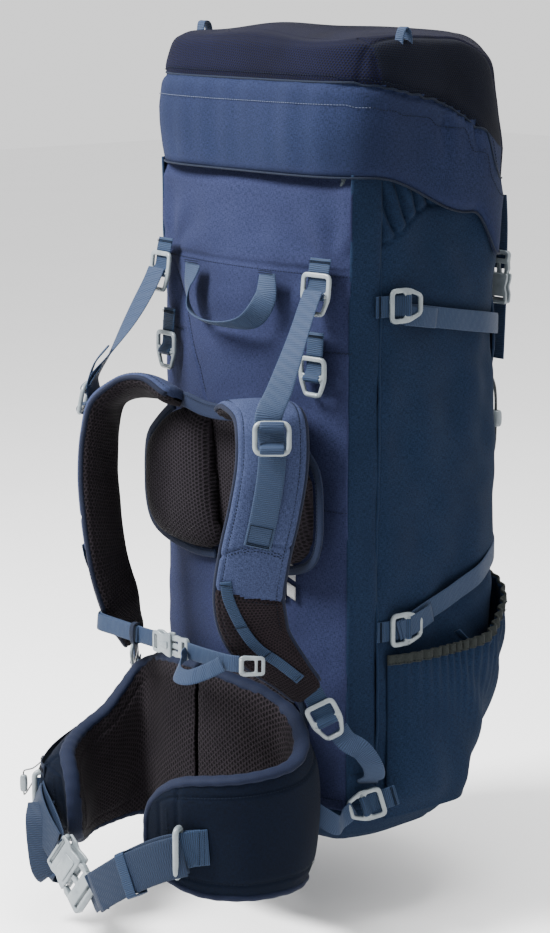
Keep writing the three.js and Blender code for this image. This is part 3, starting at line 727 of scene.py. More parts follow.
def pleats(P):
    """Gathered cloth in the corner under the lid."""
    y = P[..., 1]
    z = P[..., 2]
    along = (y + 92) * 0.52 + (638 - z) * 0.85
    over = (y + 92) * 0.85 - (638 - z) * 0.35
    lower = 584 + 34 * smooth(-95, -30, y)
    mask = smooth(lower - 4, lower + 10, z) * smooth(-100, -86, y) * smooth(-8, -34, y)
    folds = np.abs(np.sin(over / 15 * math.pi + 0.25 * np.sin(along / 18))) ** 0.7
    rim = -2.2 * groove(z - lower, 3) * smooth(-100, -90, y) * smooth(0, -25, y)
    return mask * (9.5 * folds - 8.0) + rim


def make_side(name, sign):
    edge = np.linspace(0.004, GUSSET_END, 16)
    s, z = grid(edge, np.linspace(BASE_RIM, BAG_TOP, 220))
    P = bag_point(sign, s, z)
    fall = edge_fall(s, edge[0], edge[-1], 0.02)
    P = push(P, 1.6 * fall - 1.6 + ripple(P, 90, 0.8, 7))
    Shape().grid(P).make(name + "_gusset", SHADED_SIDE_NAVY, "bag", "side_fabric", shell=2.5)
    rows = Shape()
    for column in (2, 13):
        add_seam_stitches(rows, P, column)
    s, z = grid(np.linspace(GUSSET_END, SIDE_END, 130), np.linspace(BASE_RIM, BAG_TOP, 300))
    P = bag_point(sign, s, z)
    fall = edge_fall(s, GUSSET_END, SIDE_END, 0.035)
    along = (s - 0.2) / 0.54
    held = groove(z - lerp(520, 487, along), 16) * smooth(0.14, 0.24, s)
    held = held + 0.8 * groove(z - lerp(216, 276, along), 15) * smooth(0.14, 0.24, s)
    slack = ripple(P * np.array([1, 1, 0.6]), 95, 2.2, 11) + ripple(P, 38, 0.7, 12)
    # Creases run down and forward from the gathers.
    crease = ripple(P @ np.array([[1, 0, 0], [0, 1.4, 0.7], [0, -0.3, 0.25]]), 60, 1.2, 13)
    amount = 2.5 * fall - 2.5 - 3.0 * held + slack + crease + pleats(P)
    P = push(P, amount * edge_fall(z, BASE_RIM, BAG_TOP, 20))
    side = Shape().grid(P).make(name + "_side", SHADED_SIDE_NAVY, "bag", "side_fabric", shell=2.5)
    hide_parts(name + "_side_panel")
    add_seam_stitches(rows, P, 4)
    rows.make(name + "_side_stitching", NAVY_THREAD, "bag", "side_fabric")
    piping = Shape()
    ends = P[0] + np.array([sign * 0.4, 0, 0])
    add_tube(piping, ends[::4], 1.5)
    piping.make(name + "_side_piping", SHADED_SIDE_NAVY, "bag", "side_fabric")


def make_front():
    t, z = grid(np.linspace(-1, 1, 140), np.linspace(BASE_RIM, BAG_TOP, 260))
    stretch = lerp(1, SIDE_END, np.abs(t))
    half = bag_point(1, stretch, z)
    P = np.where((t < 0)[..., None], half * np.array([-1, 1, 1]), half)
    fall = edge_fall(t, -1, 1, 0.05)
    slack = ripple(P, 110, 2.0, 21) + ripple(P, 40, 0.6, 22)
    seam = -1.6 * groove(z - 430, 2.2) - 1.3 * groove(np.abs(P[..., 0]) - 96, 2)
    P = push(P, (2.2 * fall - 2.2 + slack + seam) * edge_fall(z, BASE_RIM, BAG_TOP, 20))
    front = Shape().grid(P).make("bag_front", SHADED_SIDE_NAVY, "bag", "side_fabric", shell=2.5)
    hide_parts("front_panel")
    rows = Shape()
    for column in (5, 134):
        add_seam_stitches(rows, P, column)
    rows.make("front_stitching", NAVY_THREAD, "bag", "side_fabric")


def bag_ring(z, out, scale_x, scale_y, count=120):
    """All round the bag at one height."""
    back = back_point(np.linspace(-BACK_HALF, BACK_HALF, count // 4, endpoint=False), z, out)
    right = bag_point(1, np.linspace(0, 1, count * 3 // 8, endpoint=False), z, out)
    left = bag_point(-1, np.linspace(1, 0, count * 3 // 8, endpoint=False), z, out)
    ring = np.vstack([back, right, left])
    ring = resample(np.vstack([ring, ring[:1]]), count + 1)[:-1]
    ring[:, 0] *= scale_x
    ring[:, 1] = -70 + (ring[:, 1] + 70) * scale_y
    return ring


def make_base():
    profile = spline([(45, 1, 1), (32, 0.985, 0.955), (20, 0.93, 0.87), (8, 0.85, 0.72),
        (0, 0.68, 0.54)], 26)
    rings = [bag_ring(z, 0, sx, sy) for z, sx, sy in profile]
    centre = np.array([0, -40, 0])
    floor = rings[-1]
    rings += [centre + (floor - centre) * r for r in np.linspace(0.92, 0.02, 12)]
    P = np.array(rings)
    slack = ripple(P, 80, 1.4, 31) * smooth(2, 14, P[..., 2])
    sink = -1.8 * groove(P[..., 2] - 45, 2.5) - 1.2 * groove(P[..., 2] - 12, 2)
    P = push(P, slack + sink, (0, -40, 60), wrap=True)
    base = Shape().grid(P, wrap=True).make("bag_base", SHADED_SIDE_NAVY, "bag", "side_fabric", shell=2.5)
    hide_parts("base_panel")
    rows = Shape()
    line = np.vstack([P[3], P[3][:1]])
    add_stitches(rows, line, unit(line - np.array([0, -40, 30])))
    rows.make("base_stitching", NAVY_THREAD, "bag", "side_fabric")


def make_collar():
    profile = spline([(604, 1, 1), (625, 0.99, 0.99), (644, 0.98, 0.98), (664, 0.945, 0.96),
        (684, 0.9, 0.93)], 30)
    rings = [bag_ring(z, -13, sx, sy, 360) for z, sx, sy in profile]
    P = np.array(rings)
    turn = np.linspace(0, 2 * math.pi, 360, endpoint=False)[None]
    gather = smooth(630, 684, P[..., 2])
    folds = np.sin(turn * 34 + 1.3 * np.sin(turn * 5)) * 1.7 * gather
    P = push(P, folds - 1.2, (0, -10, 650), wrap=True)
    collar = Shape().grid(P, wrap=True).make("collar", LINING, "bag", "lining", shell=1.2)
    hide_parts("snow_collar")
    cord = Shape()
    add_tube(cord, np.vstack([P[-2], P[-2][:1]])[::3], 1.3, closed=False)
    cord.make("collar_drawcord", CORD, "bag", "shock_cord")


make_back()
for side_name, side_sign in SIDES:
    make_side(side_name, side_sign)
make_front()
make_base()
make_collar()


# ---- flat moulded shapes ----
def rounded(corners, radius, steps=5):
    """A closed outline with its corners rounded off."""
    corners = np.asarray(corners, float)
    radii = np.broadcast_to(np.asarray(radius, float), len(corners))
    out = []
    for i, corner in enumerate(corners):
        before = corners[i - 1] - corner
        after = corners[(i + 1) % len(corners)] - corner
        room = min(np.linalg.norm(before), np.linalg.norm(after)) * 0.49
        reach = min(radii[i], room)
        a = corner + unit(before) * reach
        b = corner + unit(after) * reach
        for t in np.linspace(0, 1, steps):
            out.append(a * (1 - t) ** 2 + corner * 2 * t * (1 - t) + b * t * t)
    return np.array(out)


def rectangle(left, right, low, high):
    return [(left, low), (right, low), (right, high), (left, high)]


def plate(loops, thickness, bevel):
    """Points and faces of a flat shape with windows and soft edges, centred on its own plane."""
    data = bpy.data.curves.new("outline", "CURVE")
    data.dimensions = "2D"
    data.fill_mode = "BOTH"
    data.extrude = thickness / 2 - bevel
    data.bevel_depth = bevel
    data.bevel_resolution = 2
    data.offset = -bevel
    for loop in loops:
        line = data.splines.new("POLY")
        line.points.add(len(loop) - 1)
        for p, (x, y) in zip(line.points, loop):
            p.co = (x, y, 0, 1)
        line.use_cyclic_u = True
    drawn = bpy.data.objects.new("outline", data)
    bpy.context.scene.collection.objects.link(drawn)
    bpy.context.view_layer.update()
    ready = drawn.evaluated_get(bpy.context.evaluated_depsgraph_get())
    mesh = bpy.data.meshes.new_from_object(ready)
    points = np.array([v.co[:] for v in mesh.vertices])
    faces = [list(p.vertices) for p in mesh.polygons]
    bpy.data.objects.remove(drawn)
    bpy.data.meshes.remove(mesh)
    bpy.data.curves.remove(data)
    return points, faces


class Seat:
    """Where a fitting lies: its middle, the way its face looks and the way its top points."""

    def __init__(self, centre, facing, up):
        self.centre = np.asarray(centre, float)
        self.z = unit(facing)
        up = np.asarray(up, float)
        self.y = unit(up - np.dot(up, self.z) * self.z)
        self.x = np.cross(self.y, self.z)

    def at(self, local):
        local = np.atleast_2d(np.asarray(local, float))
        return self.centre + local[:, :1] * self.x + local[:, 1:2] * self.y + local[:,
            2:3] * self.z

    def add_plate(self, shape, loops, thickness, bevel, rise=0.0, finish=0):
        points, faces = plate(loops, thickness, bevel)
        shape.points.append(self.at(points + np.array([0, 0, rise])))
        shape.faces += [[i + shape.count for i in f] for f in faces]
        shape.uvs.append(np.zeros((sum(len(f) for f in faces), 2)))
        shape.finishes += [finish] * len(faces)
        shape.count += len(points)

    def add_bar(self, shape, start, end, radius, finish=0):
        path = self.at(np.linspace(start, end, 9))
        taper = np.full(9, radius)
        taper[[0, -1]] = radius * 0.6
        add_tube(shape, path, taper, 10, finish=finish)

    def add_band(self, shape, local, width, thickness=1.6, count=0, finish=0):
        add_band(shape, self.at(local), self.x, width, thickness, count, finish)


def ladder_lock(node, body, seat, width, height, tape):
    """A ladder lock with the end of the webbing that it hangs from."""
    w, h = width / 2, height / 2
    shape = Shape()
    outline = [(-w, h), (w, h), (w, -3), (w - 7, -h), (-w + 7, -h), (-w, -3)]
    upper = rectangle(-w + 4.6, w - 4.6, 2.5, h - 4.6)
    lower = [(-w + 5.6, -5), (w - 5.6, -5), (w - 9, -h + 4.6), (-w + 9, -h + 4.6)]
    loops = [rounded(outline, [7, 7, 5, 5, 5, 5]), rounded(upper, 2.5), rounded(lower, 1.8)]
    seat.add_plate(shape, loops, 3.4, 1.2)
    seat.add_bar(shape, (-w + 3, -1.6, 0.9), (w - 3, -1.6, 0.9), 2.0)
    seat.add_bar(shape, (-w + 8, -h + 2.4, 0.7), (w - 8, -h + 2.4, 0.7), 1.9)
    lock = shape.make(node + "_frame", PLASTIC, body, "hardware")
    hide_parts(node)
    wrap = Shape()
    wide = min(tape, width - 10)
    loop = [(0, h + 1, -2.6), (0, h - 5, -2.8), (0, 5, -1.6), (0, 1.5, 1.2), (0, -1.5, 3.4),
        (0, -4.2, 1.6), (0, -3, -2.2)]
    seat.add_band(wrap, loop, wide, 1.5, 26)
    wrap.make(node + "_tape", STRAP_DARK, body, "webbing")


def bar_tack(shape, seat, width, y, rise):
    for offset in (0, 1.3):
        line = seat.at([(-width / 2, y + offset, rise), (width / 2, y + offset, rise)])
        add_stitches(shape, line, seat.z, pitch=1.5, length=1.7, radius=0.42)


FITTINGS = (
    ("lid_stabilizer_buckle", (0.1, -1, 0), (0, 0, 1), 33, 38, 20),
    ("lifter_buckle", (0.12, -1, 0.1), (0, 0, 1), 35, 40, 25),
    ("upper_compression_buckle", (1, -0.1, 0), (0, -1, 0), 33, 38, 20),
    ("lower_compression_buckle", (1, -0.1, 0), (0, -1, 0), 33, 38, 20),
    ("stabilizer_buckle", (0.8, -0.6, 0), (0.5, 0.7, 0.25), 31, 36, 20),
)


def make_bag_fittings():
    for side, sign in SIDES:
        tabs = Shape()
        tacks = Shape()
        for part, facing, up, width, height, tape in FITTINGS:
            node = side + "_" + part
            seat = Seat(node_centre(node), mirror(facing, sign), mirror(up, sign))
            ladder_lock(node, "bag" if part == "lifter_buckle" else node, seat, width, height,
                tape)
            top = height / 2
            reach = 22 if part == "lid_stabilizer_buckle" else 13
            wide = min(tape, width - 10)
            seat.add_band(tabs, [(0, top - 1, -2.4), (0, top + 4, -2.8), (0, top + reach, -4.4)],
                wide, 1.8, 8)
            bar_tack(tacks, seat, wide, top + reach - 4, -2.6)
        tabs.make(side + "_fitting_tabs", STRAP_DARK, "bag", "webbing")
        tacks.make(side + "_fitting_tacks", NAVY_THREAD, "bag", "webbing")


# ---- pockets ----
def rim_height(u):
    return 192 + 8 * u + 38 * smooth(0.55, 1, u)


def make_side_pocket(name, sign):
    u, v = grid(np.linspace(0, 1, 150), np.linspace(0, 1, 110))
    s = lerp(0.13, 0.72, u)
    z = lerp(30, rim_height(u), v)
    stand = 22 * np.sin(math.pi * u) ** 0.7 * np.sin(math.pi * (0.04 + 0.62 * v))
    P = bag_point(sign, s, z, 0.4 + 3.5 + stand)
    below = (1 - v) * (rim_height(u) - 30)
    gather = np.sin(u * 2 * math.pi * 21 + 1.2 * np.sin(u * 17)) * np.exp(-below / 26)
    folds = ripple(P @ np.array([[1, 0, 0], [0, 1.0, 0.8], [0, 0.5, 0.45]]), 42, 3.0, 41)
    sag = ripple(P, 90, 2.6, 42)
    loose = np.sin(math.pi * u) ** 0.5 * smooth(0, 0.15, v)
    P = push(P, (2.4 * gather + folds * smooth(1.0, 0.7, v) + sag) * loose - 0.8)
    pocket = Shape().grid(P).make(name + "_pocket", SHADED_SIDE_NAVY, "bag", "side_fabric", shell=1.6)
    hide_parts(name + "_side_pocket")
    rim = Shape()
    line = P[:, -1] + unit(P[:, -1] - np.array([0, -20, 200])) * 0.5 - np.array([0, 0, 3])
    add_band(rim, line, (0, 0, 1), 10, 3.2)
    rim.make(name + "_pocket_binding", GREY_ELASTIC, "bag", "side_fabric")
    rows = Shape()
    out = unit(line - np.array([0, -20, 200]))
    add_stitches(rows, line + out * 1.9 - np.array([0, 0, 3.2]), out)
    rows.make(name + "_pocket_stitching", NAVY_THREAD, "bag", "side_fabric")
    loop = Shape()
    y = [7, 18, 34, 50, 57]
    lift = [3, 9, 11, 8, 3]
    heights = [203, 190, 180, 188, 200]
    path = np.stack([sign * (146 + np.array(lift)), np.array(y), np.array(heights)], 1)
    add_band(loop, path, (sign * 0.8, 0, 0.6), 8, 1.6, 30)
    loop.make(name + "_pocket_loop", STRAP_DARK, "bag", "webbing")


def make_front_pocket():
    u, v = grid(np.linspace(0, 1, 110), np.linspace(0, 1, 170))
    s = lerp(1, 0.79, np.abs(2 * u - 1))
    z = lerp(62, 410, v)
    stand = 20 * np.sin(math.pi * u) ** 0.6 * np.sin(math.pi * (0.04 + 0.62 * v))
    half = bag_point(1, s, z, 0.4 + 3.5 + stand)
    P = np.where((u < 0.5)[..., None], half * np.array([-1, 1, 1]), half)
    gather = np.sin(u * 2 * math.pi * 15 + np.sin(u * 9)) * np.exp(-(1 - v) * 348 / 22)
    loose = np.sin(math.pi * u) ** 0.5 * smooth(0, 0.08, v)
    seam = -1.4 * groove(z - 230, 2)
    P = push(P, (1.4 * gather + ripple(P, 70, 1.8, 45) + ripple(P, 34, 0.6, 46) + seam) * loose
        - 0.8)
    pocket = Shape().grid(P).make("pocket_front", SHADED_SIDE_NAVY, "bag", "side_fabric", shell=1.6)
    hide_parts("front_pocket")
    rim = Shape()
    line = P[:, -1] - np.array([0, -0.4, 3])
    add_band(rim, line, (0, 0, 1), 10, 3.2)
    rim.make("pocket_front_binding", GREY_ELASTIC, "bag", "side_fabric")
    rows = Shape()
    add_stitches(rows, line + np.array([0, 1.9, -3.2]), (0, 1, 0))
    for column in (4, 105):
        add_seam_stitches(rows, P[:, 4:-8], column, row=True)
    rows.make("pocket_front_stitching", NAVY_THREAD, "bag", "side_fabric")


# ---- straps round the bag ----
STRAP_RUNS = (
    ("upper", 0.165, 0.74, lambda u: lerp(520, 487, u)),
    ("lower", 0.165, 0.70, lambda u: lerp(216, 276, u)),
)


def make_compression_straps():
    for side, sign in SIDES:
        for level, start, end, height in STRAP_RUNS:
            u = np.linspace(0, 1, 60)
            s = lerp(start, end, u)
            z = height(u)
            path = bag_point(sign, s, z, 3.4 + 0.5 * np.sin(u * 23))
            path[:3] += np.array([sign * 1.6, 0, 0])
            shape = Shape()
            add_band(shape, path, (0, 0, 1), 20, 1.7)
            # The strap's loose end turns back over it from the ladder lock.
            tail = bag_point(sign, lerp(start + 0.01, start + 0.13, u[::4]),
                height(0.02 + 0.2 * u[::4]) - 1, 6.2)
            tail[:, 0] += sign * (1.5 * np.sin(np.linspace(0, 3, len(tail))))
            add_band(shape, tail, (0, 0, 1), 19, 1.6)
            name = side + "_" + level + "_compression_strap"
            strap = shape.make(side + "_" + level + "_side_strap", STRAP, "bag", "webbing")
            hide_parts(name)
            tacks = Shape()
            ends = bag_point(sign, [end - 0.012, end - 0.012], height(1.0) + np.array([-9, 9]),
                4.6)
            for shift in (0, 0.006):
                line = bag_point(sign, np.full(2, end - 0.012 - shift),
                    height(1.0) + np.array([-9, 9]), 4.6)
                add_stitches(tacks, line, unit(ends[0] - np.array([0, -20, ends[0][2]])), 1.5,
                    1.7, 0.42)
            tacks.make(side + "_" + level + "_side_tack", NAVY_THREAD, "bag", "webbing")


def make_haul_loop():
    route = [(-54, -154, 555), (-56, -159, 532), (-42, -166, 511), (0, -170, 504)]
    route += [(-x, y, z) for x, y, z in route[-2::-1]]
    path = spline(route, 70)
    tangent = unit(np.gradient(path, axis=0))
    roll = 1.22 * np.sin(np.linspace(0, math.pi, 70))[:, None]
    flat = unit(np.cross(tangent, (0, 1, 0)))
    across = flat * np.cos(roll) - np.array([0, 1, 0]) * np.sin(roll)
    shape = Shape()
    P, uv = band(path, across, 22, 2.0)
    shape.grid(P, uv, wrap=True, caps=True)
    loop = shape.make("haul_loop_webbing", STRAP, "haul_loop", "webbing")
    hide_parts("haul_loop")
    tacks = Shape()
    for sign in (-1, 1):
        for z in (556, 558):
            line = [(sign * 54 - 10, -156.4, z), (sign * 54 + 10, -156.4, z)]
            add_stitches(tacks, line, (0, -1, 0), 1.5, 1.7, 0.42)
    tacks.make("haul_loop_tacks", NAVY_THREAD, "haul_loop", "webbing")


# ---- lid ----
LID_HALF_WIDTH = 156
LID_BACK_Y = -145
LID_FRONT_Y = 107
LID_CROWN_SEAM = spline(
    [(-146, 733), (-100, 727), (-70, 720), (-30, 711), (5, 694), (35, 668), (62, 640),
    (117, 628)], 80
)


def lid_bottom(y):
    return 647 - 38 * smooth(-110, 10, y) - 45 * smooth(15, 65, y)


def lid_top(y):
    return 773 - 3 * smooth(0, LID_FRONT_Y, y)


def crown_seam(y):
    return np.interp(y, LID_CROWN_SEAM[:, 0], LID_CROWN_SEAM[:, 1])


def lid_ring(shrink, level, count=420):
    """One ring of the lid: level 0 is its lower edge, 1 its shoulder and 2 the top."""
    angle = np.linspace(0, 2 * math.pi, 3001)
    c, s = np.cos(angle), np.sin(angle)
    power = np.where(s > 0, 2 / 3.3, 2 / 4.5)
    middle = (LID_BACK_Y + LID_FRONT_Y) / 2
    half = (LID_FRONT_Y - LID_BACK_Y) / 2
    x = (LID_HALF_WIDTH - shrink) * np.sign(c) * np.abs(c) ** power
    y = middle + (half - shrink) * np.sign(s) * np.abs(s) ** power
    ring = resample(np.stack([x, y], 1), count + 1)[:-1]
    y = ring[:, 1]
    shoulder = 722 - 20 * smooth(20, LID_FRONT_Y, y)
    low = lerp(lid_bottom(y), shoulder, min(level, 1))
    corner = smooth(60, 150, ring[:, 0]) * smooth(0, 90, y)
    z = low if level <= 1 else lerp(shoulder, lid_top(y) - 24 * corner, level - 1)
    return np.column_stack([ring, z])


def make_lid():
    profile = spline([(2, 0, 0), (0, 0.6, 0), (3, 1, 0), (8, 1.65, 0), (18, 1.92, 0), (40, 2, 0)],
        110)
    rings = [lid_ring(shrink, min(level, 2)) for shrink, level, _ in profile]
    top = rings[-1]
    centre = np.array([0, -10, 0])
    for r in np.linspace(0.97, 0.01, 46):
        ring = centre + (top - centre) * r
        corner = smooth(60, 150, ring[:, 0]) * smooth(0, 90, ring[:, 1])
        ring[:, 2] = lid_top(ring[:, 1]) + 2 * (1 - r * r) - 24 * corner * r
        rings.append(ring)
    P = np.array(rings)
    x, y, z = P[..., 0], P[..., 1], P[..., 2]
    seam = crown_seam(y)
    flat = np.abs(z - seam)
    skirt = z < seam
    hem = smooth(0, 12, z - lid_bottom(y))
    slack = ripple(P, 110, 2.0, 51) * hem + ripple(P * np.array([1, 1, 0.35]), 42, 0.9,
        52) * skirt * hem
    crown = ripple(P, 130, 1.6, 53) * ~skirt
    edge = np.where(np.abs(x) > 120, np.minimum(np.abs(x - np.sign(x) * 136), np.abs(y + 103)), 60)
    split = -1.4 * groove(edge, 2.2) * ~skirt
    # A pinch of cloth on the right side, under the thread line.
    pinch = -4.0 * groove(np.hypot(y + 26, (z - 684) * 0.5), 7) * (x > 120)
    pinch = pinch + 2.2 * groove(np.hypot(y + 12, (z - 684) * 0.4), 9) * (x > 120)
    pressed = -2.4 * groove(flat, 2.6) + 1.0 * smooth(2, 9, flat) * smooth(26, 9, flat)
    P = push(P, slack + crown + split + pressed + pinch - 0.6 * (1 - hem), (0, -10, 690),
        wrap=True)
    x, y, z = P[..., 0], P[..., 1], P[..., 2]
    cell_x, cell_y, cell_z = (a[:-1] for a in (x, y, z))
    side = (np.abs(cell_x) > 135) & (cell_y > -103)
    # Cells on the lid's sides take the darker crown mesh, which carries painted shade.
    kind = np.where(cell_z < crown_seam(cell_y), 0, np.where(side, 2, 1))
    shape = Shape().grid(P, wrap=True, finish=kind)
    lid = shape.make("lid_shell", [LID_NAVY, CROWN, CROWN_SIDE_SHADED], "lid", "crown_mesh", shell=2.2)
    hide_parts("lid")
    make_lid_trim(P)


def lid_line(P, height):
    """The line round the lid at a height that depends on y, lifted just off the cloth."""
    line = []
    for column in range(P.shape[1]):
        z = P[:110, column, 2]
        want = height(P[:110, column, 1])
        row = int(np.argmin(np.abs(z - want)))
        line.append(P[row, column])
    line = np.array(line)
    for _ in range(3):
        line = (np.roll(line, 1, 0) + line * 2 + np.roll(line, -1, 0)) / 4
    out = unit((line - np.array([0, -10, 690])) * np.array([1, 1, 0]))
    return line, out


def make_lid_trim(P):
    trim = Shape()
    line, out = lid_line(P, lambda y: crown_seam(y) + 1.5)
    path = line + out * 0.5
    add_tube(trim, np.vstack([path, path[:1]]), 1.1, 8)
    hem, out_hem = lid_line(P, lambda y: lid_bottom(y) + 2)
    path = hem + out_hem * 0.6
    add_tube(trim, np.vstack([path, path[:1]]), 1.0, 8)
    trim.make("lid_piping", BINDING_DARK, "lid", "crown_mesh")
    # One row of thread runs below the crown, pale over the back and dark on the sides.
    line, out = lid_line(P, lambda y: crown_seam(y) - 19)
    pale = Shape()
    dark = Shape()
    back = (line[:, 1] < -112) & (line[:, 0] > -136)
    order = np.argsort(line[back][:, 0])
    add_stitches(pale, (line + out * 0.9)[back][order], out[back][order], 3.0, 2.3, 0.32)
    angle = np.arctan2(line[:, 1] + 10, line[:, 0])
    order = np.argsort(np.where(angle < -math.pi / 2, angle + 2 * math.pi, angle))
    rest = order[line[order][:, 1] > -118]
    add_stitches(dark, (line + out * 0.7)[rest], out[rest], 3.2, 2.1, 0.36)
    seam_line, seam_out = lid_line(P, lambda y: crown_seam(y) + 6)
    add_stitches(dark, seam_line + seam_out * 0.7, seam_out, 3.2, 2.1, 0.36)
    pale.make("lid_thread_pale", PALE_THREAD, "lid", "crown_mesh")
    dark.make("lid_thread_dark", NAVY_THREAD, "lid", "crown_mesh")
    loops = Shape()
    for sign in (-1, 1):
        x = sign * 141
        path = [(x, -72, 762), (x, -71, 772), (x + sign * 1, -68, 780), (x, -63, 779),
            (x, -60, 770), (x, -60, 760)]
        add_band(loops, path, (1, 0.25, 0), 9, 1.6, 30)
    loops.make("lid_corner_loops", STRAP, "lid", "webbing")
    inner = Shape()
    outline = lid_ring(6, 1.0)
    outline[:, 2] = 690
    rings = [np.array([0, -10, 690]) + (outline - np.array([0, -10, 690]))
        * r for r in np.linspace(1, 0.01, 40)]
    F = np.array(rings)
    F[..., 2] += ripple(F, 70, 1.6, 55)
    inner.grid(F, wrap=True)
    inner.make("lid_floor", LINING, "lid", "lining", shell=1.2)
    make_lid_zip()


def make_lid_zip():
    x = np.linspace(-86, 86, 120)
    front = LID_FRONT_Y + 1.2 - 3.0 * (np.abs(x) / 90) ** 6
    tape = Shape()
    line = np.stack([x, front - 1.6, np.full(120, 714)], 1)
    add_band(tape, line, (0, 0, 1), 17, 1.2)
    tape.make("lid_zip_tape", BINDING_DARK, "lid", "crown_mesh")
    coil = Shape()
    turn = np.linspace(0, 2 * math.pi * 70, 1100)
    along = np.linspace(-84, 84, 1100)
    helix = np.stack([along, np.interp(along, x, front) + 0.3 + 0.9 * np.sin(turn),
        714 + 2.0 * np.cos(turn)], 1)
    add_tube(coil, helix, 0.45, 5)
    coil.make("lid_zip_coil", COIL, "lid", "crown_mesh")
    rows = Shape()
    for z in (704, 724):
        lift = np.stack([x, front + 1.0, np.full(120, z)], 1)
        add_stitches(rows, lift, (0, 1, 0))
    rows.make("lid_zip_stitching", NAVY_THREAD, "lid", "crown_mesh")
    zip_pull("lid_zip_slider", "lid_zip_pull", "lid_zip", (0, 1, 0), (0, 0, 1))


def zip_pull(name, node, body, facing, up):
    """A moulded slider, a thin cord and an oval grip."""
    seat = Seat(node_centre(node), facing, up)
    low, high = (unplace(c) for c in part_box(node))
    top = (high[2] - low[2]) / 2
    shape = Shape()
    outline = rounded([(-2.6, top), (2.6, top), (2.2, top - 8), (-2.2, top - 8)], 1.5)
    seat.add_plate(shape, [outline], 2.6, 0.9, rise=-0.4, finish=1)
    grip = rounded([(-2.4, -top + 12), (2.4, -top + 12), (3.0, -top + 4), (1.8, -top),
        (-1.8, -top), (-3.0, -top + 4)], 2.2)
    seat.add_plate(shape, [grip], 3.2, 1.3, rise=0.4)
    cord_path = [(-0.9, top - 7, 0.5), (-1.8, 2, 1.2), (-0.9, -top + 11, 0.6),
        (0.9, -top + 11, 0.6), (1.8, 2, 1.2), (0.9, top - 7, 0.5)]
    add_tube(shape, seat.at(spline(cord_path, 40)), 0.55, 6, finish=2)
    pull = shape.make(name, [PLASTIC, DARK_PLASTIC, CORD], body, "hardware")
    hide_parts(node)
    return pull


# ---- side-release buckles ----
def socket_half(shape, seat, width, length, depth):
    """The hollow half: a waisted housing with side windows and a bar for its webbing."""
    w, h = width / 2, length / 2
    side = [(-w, h), (w, h), (w - 0.8, h - 7), (w - 3.4, 1), (w - 1, -5), (w - 2, -h),
        (-w + 2, -h), (-w + 1, -5), (-w + 3.4, 1), (-w + 0.8, h - 7)]
    slot = rectangle(-w + 5, w - 5, -h + 3, -h + 7)
    for rise in (-depth / 2 + 1.3, depth / 2 - 1.3):
        seat.add_plate(shape, [rounded(side, 2.6), rounded(slot, 1.2)], 2.6, 0.9, rise=rise)
    spine = rectangle(-w + 7, w - 7, -h + 8, h - 1)
    seat.add_plate(shape, [rounded(spine, 2)], depth - 1, 0.8)
    ridge = [(-w + 8, h - 4), (w - 8, h - 4), (w - 11, -2), (-w + 11, -2)]
    seat.add_plate(shape, [rounded(ridge, 2.2)], 1.4, 0.6, rise=depth / 2 + 0.3)
    seat.add_bar(shape, (-w + 3, -h + 1.8, 0), (w - 3, -h + 1.8, 0), depth * 0.38)


def plug_half(shape, seat, width, length, depth):
    """The pronged half: a cross bar with a webbing slot and two springy arms."""
    w, h = width / 2, length / 2
    body = [(-w, -h + 3), (-w + 1.5, h - 9), (w - 1.5, h - 9), (w, -h + 3), (w - 3, -h),
        (-w + 3, -h)]
    slot = rectangle(-w + 4.5, w - 4.5, -h + 4, -h + 8)
    seat.add_plate(shape, [rounded(body, 2.4), rounded(slot, 1.2)], depth * 0.62, 1.0)
    seat.add_bar(shape, (-w + 3, -h + 2.2, 0.4), (w - 3, -h + 2.2, 0.4), depth * 0.32)
    for sign in (-1, 1):
        arm = [(sign * (w - 5.5), h - 12), (sign * (w - 1), h - 12), (sign * (w - 0.2), h - 4),
            (sign * (w - 3), h + 1.5), (sign * (w - 6.5), h + 1)]
        arm = arm if sign > 0 else arm[::-1]
        seat.add_plate(shape, [rounded(arm, 1.6)], depth * 0.5, 0.9)
    tongue = rectangle(-2.6, 2.6, h - 12, h + 1)
    seat.add_plate(shape, [rounded(tongue, 1.4)], depth * 0.4, 0.8)


def make_lid_straps():
    for side, sign in SIDES:
        x = sign * 88
        shape = Shape()
        high = unplace(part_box(side + "_lid_strap")[1])
        down = Seat((x, 121.5, 548), (0, 1, 0), (0, 0, -1))
        plug = Shape()
        plug_half(plug, down, 28, 22, 8)
        plug.make(side + "_lid_plug", PLASTIC, "lid", "hardware")
        add_band(shape, [(x, 119.5, high[2]), (x, 121.5, 590), (x, 122, 565), (x, 121.5, 541)],
            (1, 0, 0), 20, 1.8, 40)
        strap = shape.make(side + "_lid_webbing", STRAP, "lid", "webbing")
        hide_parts(side + "_lid_strap")
        socket = Shape()
        socket_half(socket, Seat((x, 121.5, 521.5), (0, 1, 0), (0, 0, 1)), 28, 30, 8)
        held = socket.make(side + "_lid_socket_housing", PLASTIC, "bag", "hardware")
        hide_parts(side + "_lid_socket")
        tail = Shape()
        add_band(tail, [(x, 121.6, 512), (x, 121.4, 500), (x, 120.5, 475), (x, 119.5, 451)],
            (1, 0, 0), 20, 1.8, 30)
        tail.make(side + "_lid_socket_webbing", STRAP, "bag", "webbing")


